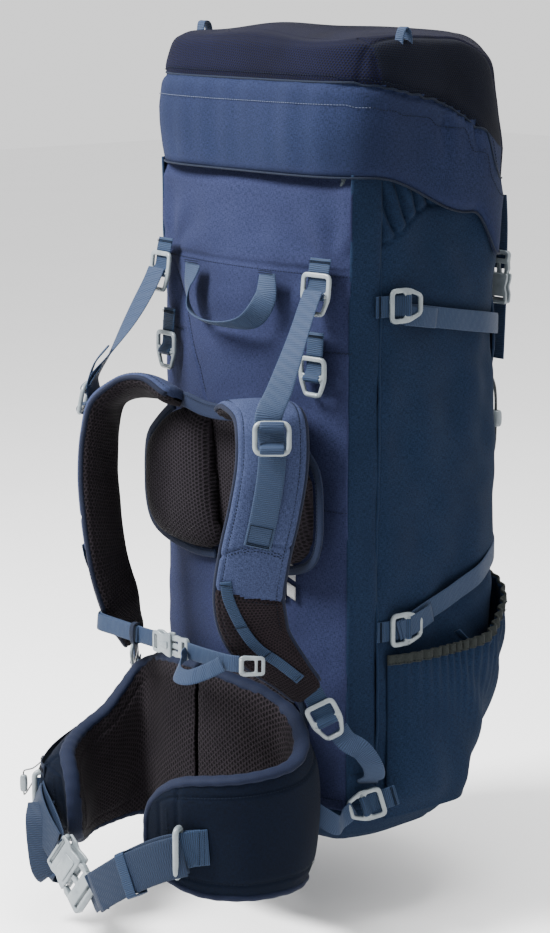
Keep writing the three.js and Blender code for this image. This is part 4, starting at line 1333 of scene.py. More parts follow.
def make_gear_cord():
    x = 88
    route = [(x, 103, 446), (x, 117, 425), (x, 120, 390), (x, 117, 355), (x, 103, 335)]
    cord = Shape()
    add_tube(cord, spline(route, 70), 1.5, 10)
    made = cord.make("front_shock_cord", CORD, "bag", "shock_cord")
    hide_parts("gear_cord")
    lock = Shape()
    profile = [(2.6, -8), (5.2, -8), (6.4, -6), (7, 0), (6.4, 6), (5.2, 8), (2.6, 8)]
    turn = np.linspace(0, 2 * math.pi, 28, endpoint=False)
    P = np.array([[(x + r * math.cos(a), 120 + r * 0.8 * math.sin(a),
        390 + z) for a in turn] for r, z in spline([(r, z, 0) for r, z in profile], 24)[:, :2]])
    lock.grid(P, wrap=True)
    made = lock.make("front_cord_lock", PLASTIC, "cord_lock", "hardware")
    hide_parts("gear_cord_lock")


make_bag_fittings()
for side_name, side_sign in SIDES:
    make_side_pocket(side_name, side_sign)
make_front_pocket()
make_compression_straps()
make_haul_loop()
make_lid()
make_lid_straps()
make_gear_cord()


# ---- padded pieces ----
def inflate(made, pressure=4.0, cap=5.0, voxel=5.0):
    """Remeshes a closed pad and lets cloth pressure round it, moving no point further than cap."""
    scene = bpy.context.scene
    remesh = made.modifiers.new("Even", "REMESH")
    remesh.mode = "VOXEL"
    remesh.voxel_size = voxel * MM
    bake_modifiers(made)
    before = np.array([v.co[:] for v in made.data.vertices])
    cloth = made.modifiers.new("Cloth", "CLOTH")
    cloth.settings.use_pressure = True
    cloth.settings.uniform_pressure_force = pressure
    cloth.settings.effector_weights.gravity = 0
    cloth.settings.quality = 4
    for number in range(1, 21):
        scene.frame_set(number)
    bake_modifiers(made)
    scene.frame_set(1)
    after = np.array([v.co[:] for v in made.data.vertices])
    moved = after - before
    far = np.linalg.norm(moved, axis=1, keepdims=True)
    moved *= np.minimum(1, cap * MM / np.maximum(far, 1e-9))
    made.data.vertices.foreach_set("co", (before + moved).ravel())
    relax = made.modifiers.new("Relax", "SMOOTH")
    relax.iterations = 4
    finer = made.modifiers.new("Finer", "SUBSURF")
    finer.levels = 1
    finer.render_levels = 1
    bake_modifiers(made)
    made.data.polygons.foreach_set("use_smooth", [True] * len(made.data.polygons))


def bake_modifiers(made):
    ready = made.evaluated_get(bpy.context.evaluated_depsgraph_get())
    mesh = bpy.data.meshes.new_from_object(ready)
    made.modifiers.clear()
    old = made.data
    made.data = mesh
    bpy.data.meshes.remove(old)


def move_points(made, shift):
    """Moves a mesh's points by shift(points), both in pack millimetres."""
    points = np.array([v.co[:] for v in made.data.vertices])
    moved = place(unplace(points) + shift(unplace(points)))
    made.data.vertices.foreach_set("co", moved.ravel())
    made.data.update()


def pillow(outline, back, depth, edge=0.5, rows=26):
    """A closed pad over an outline in x and z: back(x, z) is its flat side, depth its thickness."""
    centre = outline.mean(0)
    rings = []
    for r in np.linspace(0.02, 1, rows):
        ring = centre + (outline - centre) * r
        y = back(ring[:, 0], ring[:, 1]) - depth(ring[:, 0], ring[:, 1]) * max(1 - r**3.2,
            0) ** edge
        rings.append(np.column_stack([ring[:, 0], y, ring[:, 1]]))
    for r in np.linspace(0.97, 0.02, rows // 2):
        ring = centre + (outline - centre) * r
        rings.append(np.column_stack([ring[:, 0], back(ring[:, 0], ring[:, 1]), ring[:, 1]]))
    return np.array(rings)


YOKE_BACK_Y = -151.5
YOKE_OUTLINE = ((4, 277), (10, 350), (22, 419), (50, 424), (84, 414), (104, 398), (124, 378),
    (127, 355), (127, 315), (119, 291), (96, 280), (50, 272))


def yoke_outline(sign, shrink=0.0):
    corners = [(sign * x, z) for x, z in YOKE_OUTLINE]
    line = rounded(corners, 18, 6)
    line = resample(np.vstack([line, line[:1]]), 161)[:-1]
    centre = line.mean(0)
    return line - unit(line - centre) * shrink


def make_yoke():
    for side, sign in SIDES:
        def depth(x, z):
            lean = 0.75 + 0.25 * smooth(0, 60, np.abs(x)) * smooth(128, 90, np.abs(x))
            return 26 * lean
        P = pillow(yoke_outline(sign, 3), lambda x, z: np.full(np.shape(x), YOKE_BACK_Y), depth)
        pad = Shape().grid(P, wrap=True).make(side + "_yoke_cushion", SPACER_FLAT)
        inflate(pad, cap=5)

        def press(points):
            front = smooth(YOKE_BACK_Y - 8, YOKE_BACK_Y - 20, points[:, 1])
            shift = np.zeros_like(points)
            shift[:, 1] = ripple(points, 60, 0.9, 61 + sign) * front
            return shift

        move_points(pad, press)
        attach(pad, "harness")
        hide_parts(side + "_yoke_pad")
        trim = Shape()
        line = yoke_outline(sign, -0.5)
        keep = (sign * line[:, 0] > 20) & ((line[:, 1] < 300) | (sign * line[:, 0] > 84))
        start = int(np.argmax(~keep & np.roll(keep, -1))) + 1
        line = np.roll(line, -start, 0)
        keep = np.roll(keep, -start)
        run = line[keep]
        path = np.column_stack([run[:, 0], np.full(len(run), YOKE_BACK_Y - 2.5), run[:, 1]])
        away = unit(path - np.array([sign * 60, YOKE_BACK_Y, 350]))
        add_band(trim, path, away * np.array([1, 0.4, 1]), 9, 3.2)
        trim.make(side + "_yoke_binding", BINDING, "harness", "harness_fabric")
        rows = Shape()
        add_stitches(rows, path + np.array([0, -1.9, 0]) - away * 2.4, (0, -1, 0))
        rows.make(side + "_yoke_stitching", NAVY_THREAD, "harness", "harness_fabric")
    backing = Shape()
    x, z = grid(np.linspace(-62, 62, 60), np.linspace(288, 420, 60))
    y = YOKE_BACK_Y + 0.6 + ripple(np.stack([x, x * 0, z], -1), 50, 0.5, 63)
    backing.grid(np.stack([x, y - 2, z], -1))
    backing.make("yoke_backing", SPACER_FLAT, "harness", "spacer_mesh", shell=1.2)
    band_shape = Shape()
    path = [(-58, -168, 424), (-34, -178, 427), (-12, -178, 423), (12, -177, 422),
        (34, -176, 424), (58, -166, 426)]
    add_band(band_shape, path, (0, 0.25, 1), 15, 2.4, 60)
    band_shape.make("yoke_band", BINDING, "harness", "harness_fabric")
    rows = Shape()
    for shift in (-5, 5):
        line = spline(path, 60) + np.array([0, -1.9, shift])
        add_stitches(rows, line, (0, -1, 0))
    rows.make("yoke_band_stitching", NAVY_THREAD, "harness", "harness_fabric")


# ---- shoulder straps ----
STRAP_ROUTE = (
    (46, -176, 424),
    (72, -184, 435),
    (101, -194, 433),
    (121, -207, 419),
    (127, -213, 390),
    (124, -219, 350),
    (114, -223, 305),
    (106, -222, 262),
    (106, -210, 226),
    (122, -186, 192),
    (133, -169, 170),
)
STRAP_STEPS = 240


class ShoulderStrap:
    """The strap's centre line, width and faces; on() gives a point on its outer face."""

    ACROSS = {1: (0.66, 0.75, 0), -1: (-0.36, 0.93, 0)}

    def __init__(self, sign):
        self.sign = sign
        self.path = spline(mirror(STRAP_ROUTE, sign), STRAP_STEPS)
        late = smooth(0.04, 0.3, np.linspace(0, 1, STRAP_STEPS))[:, None]
        first = np.array(self.ACROSS[1] if sign > 0 else (0, 0.88, -0.47))
        self.wide, self.face = frames(self.path, lerp(first, np.array(self.ACROSS[sign]), late))
        if np.sum(self.face @ np.array([sign * 0.735, -0.646, 0])) < 0:
            self.face = -self.face
        t = np.linspace(0, 1, STRAP_STEPS)
        ends = np.sqrt(np.clip(1 - (1 - np.clip(np.minimum(t / 0.03, (1 - t) / 0.035), 0,
            1)) ** 2, 0.02, 1))
        self.half = lerp(31, 16, smooth(0.72, 1, t)) * (0.55 + 0.45 * ends)
        self.thick = 8.5 * ends * lerp(1, 0.75, smooth(0.8, 1, t))
        self.t = t

    def row(self, z):
        usable = self.t > 0.2
        return int(np.argmin(np.abs(self.path[:, 2] - z) + ~usable * 1e3))

    def on(self, z, w, out=0.0):
        """A point on the outer face at height z, w half-widths across, out millimetres proud."""
        i = self.row(z)
        lift = self.thick[i] * (1 - abs(w) ** 4) ** 0.5 + out
        return self.path[i] + self.wide[i] * w * self.half[i] + self.face[i] * lift

    def surface(self, outside, columns=44):
        a = np.linspace(0, math.pi, columns)
        w = np.sign(np.cos(a)) * np.abs(np.cos(a)) ** 0.6
        lift = np.abs(np.sin(a)) ** 0.62
        side = 1 if outside else -1
        P = (
            self.path[:, None]
            + self.wide[:, None] * (self.half[:, None] * w)[..., None]
            + self.face[:, None] * (side * self.thick[:, None] * lift)[..., None]
        )
        return P, np.broadcast_to(w, P.shape[:2])


def make_shoulder_straps():
    for side, sign in SIDES:
        strap = ShoulderStrap(sign)
        P, w = strap.surface(True)
        z = P[..., 2]
        seam_one = 322 - 9 * w * w + 4 * w
        seam_two = 271 - 6 * w
        late = strap.t[:, None] > 0.2
        near = np.minimum(np.abs(z - seam_one), np.abs(z - seam_two)) + ~late * 100
        inner = np.maximum(np.abs(w), 0)
        amount = -1.4 * groove(near, 2.2) - 0.8 * groove(inner - 0.84, 0.04) + ripple(P, 46, 0.9,
            71) * (1 - w**4)
        P = push(P, amount, strap.path.mean(0) - strap.face.mean(0) * 60)
        cell = (z[:-1, :-1] < seam_two[:-1, :-1]) & late[:-1]
        outer = Shape().grid(P, finish=np.where(cell, 1, 0))
        Q, w = strap.surface(False)
        quilt = ripple(Q, 40, 1.0, 72) * (1 - w**4) - 0.9 * groove(np.abs(w) - 0.8, 0.05)
        Q = push(Q, quilt, strap.path.mean(0) + strap.face.mean(0) * 60)
        outer.grid(Q, finish=2)
        made = outer.make(side + "_strap_pad", [TWILL, SPACER_DARK, SPACER], "harness",
            "harness_fabric")
        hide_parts(side + "_shoulder_strap")
        trim = Shape()
        rows = Shape()
        for edge in (1, -1):
            line = strap.path + strap.wide * (strap.half * edge)[:, None]
            path = line[3:-3:2]
            add_tube(trim, path, 2.5, 10)
            stitch = line - strap.wide * (edge * 5.5) + strap.face * (strap.thick * 0.66 + 0.5)[:,
                None]
            add_stitches(rows, stitch[8:-8], strap.face[8:-8])
        trim.make(side + "_strap_binding", STRAP_BINDING, "harness", "harness_fabric")
        for height, bow in ((319, 9), (316, 9), (268, 0)):
            ws = np.linspace(-0.8, 0.8, 30)
            line = [strap.on(height - bow * v * v + (4 * v if bow else -6 * v), v,
                0.3) for v in ws]
            add_stitches(rows, line, strap.face[strap.row(height)])
        rows.make(side + "_strap_stitching", NAVY_THREAD, "harness", "harness_fabric")
        make_strap_webbing(side, sign, strap)


def make_strap_webbing(side, sign, strap):
    top = mirror([(114, -151, 545), (114.5, -158, 532), (119, -177, 500), (126, -202, 462),
        (130, -219, 438)], sign)
    along = [strap.on(z, 0.0, 2.6) for z in (412, 395, 375, 350, 330, 321)]
    path = spline(np.vstack([top, along]), 130)
    turn = smooth(0.1, 0.6, np.linspace(0, 1, 130))[:, None]
    across = lerp(np.array([sign, 0.0, 0.0]), np.array(strap.ACROSS[sign]), turn)
    shape = Shape()
    add_band(shape, path, across, 25, 1.9)
    lifter = shape.make(
        side + "_lifter",
        STRAP,
        slot="webbing",
        blend=("bag", "harness", point(0, -150, 548), point(0, -205, 462)),
    )
    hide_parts(side + "_lifter_webbing")
    if sign < 0:
        tail = Shape()
        turn_low = path[62] + np.array([-3, -7, -10])
        line = np.vstack([path[46] + np.array([-2, -5, 2]), path[55] + np.array([-4, -8, 0]),
            turn_low, path[57]])
        add_band(tail, line, across[50], 24, 1.7, 50)
        tail.make("left_lifter_tail", STRAP_DARK, "harness", "webbing")
    rows = Shape()
    for z in (324, 322, 340):
        line = [strap.on(z, v, 3.9) for v in (-0.34, 0.34)]
        add_stitches(rows, line, strap.face[strap.row(z)], 1.5, 1.7, 0.42)
    for v in (-0.33, 0.33):
        line = [strap.on(z, v, 3.9) for z in (340, 331, 322)]
        add_stitches(rows, line, strap.face[strap.row(330)], 1.9, 1.6, 0.4)
    rows.make(side + "_lifter_tack", NAVY_THREAD, "harness", "webbing")
    node = side + "_lifter_ring"
    seat = Seat(node_centre(node), mirror((0.735, -0.646, 0.2), sign), (0, 0, 1))
    ring = Shape()
    loop = rounded(rectangle(-15.3, 15.3, -13.8, 13.8), 7)
    path = seat.at(np.column_stack([loop, np.zeros(len(loop))]))
    path = resample(np.vstack([path, path[:1]]), 73)[:-1]
    add_closed_tube(ring, path, 2.3)
    made = ring.make(side + "_lifter_ring_frame", PLASTIC, "harness", "hardware")
    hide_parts(node)
    keeper = Shape()
    wrap = [(0, -14, -5), (0, -13.8, 1.8), (0, -9, 3.4), (0, -6, -1), (0, -4, -5)]
    seat.add_band(keeper, wrap, 22, 1.6, 20)
    wrap = [(0, 14, -6), (0, 14.5, 1.6), (0, 9.5, 3.2), (0, 7, -1), (0, 5, -5)]
    seat.add_band(keeper, wrap, 22, 1.6, 20)
    keeper.make(side + "_lifter_ring_tape", STRAP, "harness", "webbing")
    node = side + "_strap_adjuster"
    seat = Seat(node_centre(node), mirror((0.735, -0.646, 0), sign),
        mirror((-0.3, -0.35, 0.9), sign))
    ladder_lock(node, node, seat, 31, 38, 20)
    tab = Shape()
    seat.add_band(tab, [(0, 18, -2.6), (0, 24, -2.4), (0, 34, -1.0)], 20, 1.8, 10)
    tab.make(side + "_adjuster_tab", STRAP_DARK, "harness", "webbing")
    rail = Shape()
    line = [strap.on(z, w, o) for z, w, o in ((284, -0.72, 1.2), (270, -0.6, 1.8), (240, -0.25,
        1.8), (222, -0.1, 2.2), (204, 0.1, 2.2), (186, 0.3, 1.4))]
    add_band(rail, line, strap.wide[strap.row(230)], 10.5, 1.7, 60)
    rail.make(side + "_sternum_rail", STRAP_DARK, "harness", "webbing")
    rows = Shape()
    for z, w in ((281, -0.7), (246, -0.32), (214, 0.0), (188, 0.28)):
        a, b = strap.on(z, w - 0.2, 3.4), strap.on(z, w + 0.2, 3.4)
        add_stitches(rows, [a, b], strap.face[strap.row(z)], 1.4, 1.8, 0.45)
    rows.make(side + "_rail_tacks", NAVY_THREAD, "harness", "webbing")


def add_closed_tube(shape, path, radius, sides=10):
    """A ring of even thickness along a closed line."""
    tangent = unit(np.roll(path, -1, 0) - np.roll(path, 1, 0))
    normal = unit(np.cross(path[len(path) // 3] - path[0], path[2 * len(path) // 3] - path[0]))
    out = np.cross(tangent, normal)
    a = np.linspace(0, 2 * math.pi, sides, endpoint=False)
    P = path[:, None] + radius * (out[:, None] * np.cos(a)[:, None] + normal * np.sin(a)[:, None])
    return shape.grid(np.concatenate([P, P[:1]]), wrap=True)


def make_sternum_strap():
    for side, sign in SIDES:
        node = side + "_sternum_slider"
        inward = np.array([12, 0, 0]) if sign < 0 else np.zeros(3)
        seat = Seat(node_centre(node) + inward, mirror((0.735, -0.646, 0), sign), (0, 0, 1))
        slider = Shape()
        outline = [(-12, 8), (-8, 10), (12, 9), (12, -9), (-8, -10), (-12, -8)]
        window = rectangle(-7.5, 2.5, -5.6, 5.6)
        slot = rectangle(5.2, 8.6, -5.8, 5.8)
        seat.add_plate(slider, [rounded(outline, 4), rounded(window, 2), rounded(slot, 1.2)], 3.4,
            1.1)
        seat.add_bar(slider, (-9.6, -7, 1), (-9.6, 7, 1), 2.0)
        made = slider.make(side + "_sternum_slider_frame", PLASTIC, side + "_slider", "hardware")
        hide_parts(node)
    z, y = 207, -241
    left = Shape()
    add_band(left, [(-104, y + 10, z), (-98, y + 3, z), (-56, y, z), (-20, y, z), (-4, y + 1, z)],
        (0, 0, 1), 17, 2.0, 70)
    add_band(left, [(-104, y + 6, z), (-96, y - 1.6, z), (-70, y - 2.6, z), (-33, y - 2.4, z)],
        (0, 0.1, 1), 16, 1.6, 50)
    left.make("left_sternum_webbing", STRAP, "left_sternum", "webbing")
    keeper = Shape()
    seat = Seat((-38, y - 1, z), (0, -1, 0), (1, 0, 0))
    ring = seat.at([(9.4 * np.sign(c), 0, 3.2 * s) for c,
        s in ((1, -1), (1, 1), (-1, 1), (-1, -1), (1, -1))])
    add_band(keeper, spline(ring, 40), (1, 0, 0), 6, 1.2)
    keeper.make("left_sternum_keeper", BINDING_DARK, "left_sternum", "webbing")
    socket = Shape()
    socket_half(socket, Seat((5, y, z), (0, -1, 0), (1, 0, 0)), 24, 27, 8)
    made_socket = socket.make("left_sternum_socket", PLASTIC, "left_sternum", "hardware")
    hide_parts("left_sternum_half")
    plug = Shape()
    plug_half(plug, Seat((30, y, z), (0, -1, 0), (-1, 0, 0)), 22, 23, 7)
    made_plug = plug.make("right_sternum_plug", PLASTIC, "right_sternum", "hardware")
    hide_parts("right_sternum_half")
    right = Shape()
    add_band(right, [(37, y, z), (44, y - 1, z), (72, y - 1, z), (100, y + 2, z),
        (108, y + 6, z)], (0, 0, 1), 16, 1.8, 60)
    hang = [(41, y - 2, z - 1), (43, y - 11, z - 8), (54, y - 24, z - 15), (70, y - 25, z - 15),
        (85, y - 14, z - 8), (94, y - 4, z - 1)]
    add_band(right, hang, (0, 0.5, 0.87), 15, 1.7, 70)
    right.make("right_sternum_webbing", STRAP, "right_sternum", "webbing")


# ---- hip belt ----
BELT_CENTRE = -0.45  # the belt's coordinate at its centre seam: 0 is the hip crease and 1 the tip
BELT_PLAN = {
    1: [
        (3, -197.5, BELT_CENTRE),
        (48, -193, -0.22),
        (80, -184, -0.07),
        (100, -178, 0.01),
        (117, -181, 0.08),
        (132, -190, 0.16),
        (143, -213, 0.32),
        (133, -251, 0.56),
        (96, -279, 0.8),
        (50, -292, 1),
    ],
    -1: [
        (-3, -197.5, BELT_CENTRE),
        (-48, -193, -0.22),
        (-80, -187, -0.07),
        (-97, -187, 0.03),
        (-103, -200, 0.14),
        (-101, -224, 0.32),
        (-94, -251, 0.56),
        (-74, -279, 0.8),
        (-48, -301, 1),
    ],
}
BELT_TOP = {
    1: [(BELT_CENTRE, 172), (-0.2, 167), (0, 150), (0.16, 127), (0.32, 115), (0.56, 110),
        (0.8, 104), (1, 92)],
    -1: [(BELT_CENTRE, 172), (-0.2, 168), (0, 156), (0.16, 128), (0.32, 106), (0.56, 94),
    (0.8, 88), (1, 80)],
}


def belt_plan(sign, u):
    """The pad's inner face in plan, and the direction out of the wearer's body."""
    dense = spline(BELT_PLAN[sign], 400)
    slope = unit(np.gradient(dense[:, :2], axis=0))
    x, y = (np.interp(u, dense[:, 2], dense[:, k]) for k in (0, 1))
    tx, ty = (np.interp(u, dense[:, 2], slope[:, k]) for k in (0, 1))
    return x, y, -sign * ty, sign * tx


def belt_point(sign, u, out, z):
    """A point out millimetres outside the pad's inner face."""
    u, out, z = np.broadcast_arrays(*(np.asarray(a, float) for a in (u, out, z)))
    x, y, nx, ny = belt_plan(sign, u)
    lean = (10 if sign < 0 else 2) * smooth(20, 110, z) * smooth(0.1, 0.5, u) * smooth(1.1, 0.8, u)
    return np.stack([x + nx * (out + lean), y + ny * (out + lean), z], -1)


def wing_edges(sign, u):
    """Lower and upper edge of the belt, its tip well rounded."""
    knots = np.array(BELT_TOP[sign], float)
    dense = spline(np.column_stack([knots, knots[:, 0] * 0]), 200)
    top = np.interp(u, dense[:, 0], dense[:, 1])
    low = -4 + 8 * (1 - smooth(BELT_CENTRE, 0.25, u)) + 10 * smooth(0.7, 1, u)
    turn = 1 - np.sqrt(np.clip(1 - (np.clip(u - 0.8, 0, 1) / 0.2) ** 2, 0, 1))
    return low + 20 * turn, top - 34 * turn


def wing_bulge(sign, u, v):
    """How far the outer face stands proud: the left pocket, or the full hip on the right."""
    if sign > 0:
        return 9 * groove(u - 0.14, 0.22) * np.sin(math.pi * v)
    return 26 * smooth(0.24, 0.36, u) * smooth(0.94, 0.8, u) * np.sin(math.pi * v) ** 0.6


def make_wing(side, sign):
    body = side + "_belt"
    thick = 15
    hinge = {"blend": ("bag", body, point(sign * 84, -186, 80), point(sign * 110, -196, 80))}
    u, v = grid(np.linspace(BELT_CENTRE, 1, 210), np.linspace(0, 1, 70))
    low, top = wing_edges(sign, u)
    z = lerp(low, top, v)
    edge = np.minimum(np.minimum(v, 1 - v) * 6, (1 - u) * 9)
    crown = np.clip(edge, 0, 1) ** 0.5
    outer = belt_point(sign, u, thick - 3.2 + 4.2 * crown + wing_bulge(sign, u, v), z)
    slack = ripple(outer, 70, 1.1, 81) * np.clip(edge, 0, 1)
    line = -1.2 * groove(edge - 0.72, 0.09) - 1.2 * groove((u - 0.84) * 220, 2) * smooth(0.3,
        0.45, v)
    outer = push(outer, slack + line, (0, -200, 60))
    made = Shape().grid(outer[60:]).make(
        side + "_wing_outer", WING_CLOTH, slot="harness_fabric", shell=1.6, blend=hinge["blend"]
    )
    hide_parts(side + "_hip_wing")
    inner = belt_point(sign, u, 3.2 - 4.6 * crown, z)
    hollow = 1.2 * groove(edge - 0.72, 0.09) + 2.0 * groove((u - BELT_CENTRE) * 200, 5)
    inner = push(inner, ripple(inner, 60, 1.0, 82) * np.clip(edge, 0, 1) + hollow * 0.8,
        (sign * 60, -228, 60))
    lining = Shape().grid(inner).make(
        side + "_wing_lining", SPACER, slot="spacer_mesh", shell=1.6, out=1, blend=hinge["blend"]
    )
    us = np.linspace(BELT_CENTRE, 1, 150)
    lows, tops = wing_edges(sign, us)
    upper = belt_point(sign, us, thick / 2, tops)
    lower = belt_point(sign, us, thick / 2, lows)
    tip = [lerp(upper[-1], lower[-1], t) for t in np.linspace(0.1, 0.9, 8)]
    path = resample(np.vstack([upper, tip, lower[::-1]]), 300)
    for _ in range(6):
        path[1:-1] = (path[:-2] + path[1:-1] * 2 + path[2:]) / 4
    rim = Shape()
    add_rim(rim, path, sign)
    rim.make(side + "_wing_rim", WING_RIM, slot="harness_fabric", blend=hinge["blend"])
    rows = Shape()
    for faces, turned, first in ((outer, 1, 70), (inner, -1, 4)):
        normals = grid_normals(faces)
        for pick in (np.s_[first:188, 9], np.s_[first:188, 60], np.s_[192, 14:56]):
            run = faces[pick]
            normal = normals[pick]
            away = run - np.array([sign * 60, -228, 60])
            if np.sum(normal * away) * turned < 0:
                normal = -normal
            add_stitches(rows, run + normal * 0.9, normal)
    rows.make(side + "_wing_stitching", NAVY_THREAD, slot="harness_fabric", blend=hinge["blend"])


def add_rim(shape, path, sign):
    """The belt's padded edge: an oval roll as deep as the pad."""
    tangent = unit(np.gradient(path, axis=0))
    across = unit((path - np.array([sign * 20, -228, 0])) * np.array([1, 1, 0]))
    across = unit(across - np.sum(across * tangent, -1, keepdims=True) * tangent)
    up = np.cross(tangent, across)
    a = np.linspace(0, 2 * math.pi, 20, endpoint=False)
    swell = 1 + 0.04 * np.sin(np.arange(len(path)) * 0.9)[:, None, None]
    ring = across[:, None] * (7.6 * np.cos(a))[:, None] + up[:, None] * (4.6 * np.sin(a))[:, None]
    return shape.grid(path[:, None] + ring * swell, wrap=True, caps=True)


def make_wing_pocket():
    """The zip along the left wing's pocket."""
    us = np.linspace(0.36, 0.84, 90)
    lows, tops = wing_edges(-1, us)
    v = 0.8
    z = lerp(lows, tops, v)
    bulge = wing_bulge(-1, us, np.full(90, v))
    line = belt_point(-1, us, 17.2 + bulge, z)
    out = unit(belt_point(-1, us, 18.2 + bulge, z) - line)
    tape = Shape()
    add_band(tape, line, (0, 0, 1), 14, 1.4)
    tape.make("wing_zip_tape", BINDING_DARK, "left_belt", "harness_fabric")
    coil = Shape()
    fine = resample(line + out * 1.2, 700)
    lift = resample(out, 700)
    turn = np.linspace(0, 2 * math.pi * 52, 700)
    helix = fine + np.stack([0 * turn, 0 * turn, 1.8 * np.cos(turn)],
        1) + lift * (0.7 * np.sin(turn))[:, None]
    add_tube(coil, helix, 0.45, 5)
    coil.make("wing_zip_coil", COIL, "left_belt", "harness_fabric")
    node = "belt_zip_pull"
    seat = Seat(node_centre(node), (0.55, -0.8, 0), (0, 0, 1))
    pull = Shape()
    grip = [(-3.4, 9), (3.4, 9), (4.0, 0), (3.4, -9), (-3.4, -9), (-4.0, 0)]
    seat.add_plate(pull, [rounded(grip, 3.2)], 5.0, 1.9)
    anchor = line[66] + out[66] * 2.5
    slider = Seat(anchor, out[66], (0, 0, 1))
    slider.add_plate(pull, [rounded(rectangle(-4, 4, -4.5, 4.5), 2)], 3.2, 1.2, finish=2)
    for end, drop in ((12, -2.0), (-12, -3.0)):
        tip = seat.at([(0, end, 0)])[0]
        grip_end = seat.at([(0, end * 0.66, 0)])[0]
        middle = lerp(tip, anchor, 0.5) + np.array([0, 0, drop])
        add_tube(pull, spline(np.vstack([grip_end, tip, middle, anchor]), 30), 0.75, 8, finish=1)
    made = pull.make("wing_zip_pull", [PLASTIC, CORD, DARK_PLASTIC], "belt_zip", "hardware")
    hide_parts(node)


def make_lumbar():
    for side, sign in SIDES:
        corners = [(sign * 2.5, 6), (sign * 88, 9), (sign * 93, 60), (sign * 92, 148),
            (sign * 66, 166), (sign * 2.5, 174)]
        line = rounded(corners, [10, 10, 30, 22, 30, 12], 8)
        line = resample(np.vstack([line, line[:1]]), 161)[:-1]

        def depth(x, z):
            back = -back_point(x, z)[:, 1]
            return 191 - 17 * (np.abs(x) / 92) ** 2 - back - 2 - 4 * smooth(120, 174, z)

        P = pillow(line, lambda x, z: back_point(x, z)[:, 1] - 0.8, depth, 0.42)
        pad = Shape().grid(P, wrap=True).make(side + "_lumbar_cushion", SPACER_FLAT)
        inflate(pad, cap=5)
        move_points(pad, lambda q: np.stack([q[:, 0] * 0, ripple(q, 60, 0.8, 85), q[:, 0] * 0], 1))
        attach(pad, "bag")
        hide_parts("lumbar_pad")
        trim = Shape()
        run = line[(line[:, 1] > 120) | (sign * line[:, 0] > 20)]
        order = np.argsort(np.arctan2(run[:, 1] - 90, sign * (run[:, 0] - sign * 40)))
        run = run[order]
        path = np.column_stack([run[:, 0], back_point(run[:, 0], run[:, 1])[:, 1] - 3.5,
            run[:, 1]])
        add_tube(trim, path, 3.2, 10)
        trim.make(side + "_lumbar_binding", BINDING_DARK, "bag", "harness_fabric")


def belt_loop(shape, path, across, gap, width, thickness=2.0):
    """Webbing folded back on itself: out along one side of a line and back along the other."""
    path = np.asarray(path, float)
    wide, face = frames(path, across)
    bow = (0.3 + 0.7 * np.sin(np.linspace(0.12, math.pi * 0.9, len(path))))[:, None] * gap / 2
    if np.sum(face[:, 1]) > 0:
        face = -face
    front = path + face * bow
    rear = (path - face * bow * 1.2 + np.array([0, 0, 8.0]) * bow / gap)[::-1]
    turn = path[-1] + unit(path[-1] - path[-2]) * gap * 0.45
    line = np.vstack([front, turn, rear])
    sides = np.vstack([wide, wide[-1:], wide[::-1]])
    return add_band(shape, resample(line, 140), resample(sides, 140), width, thickness)


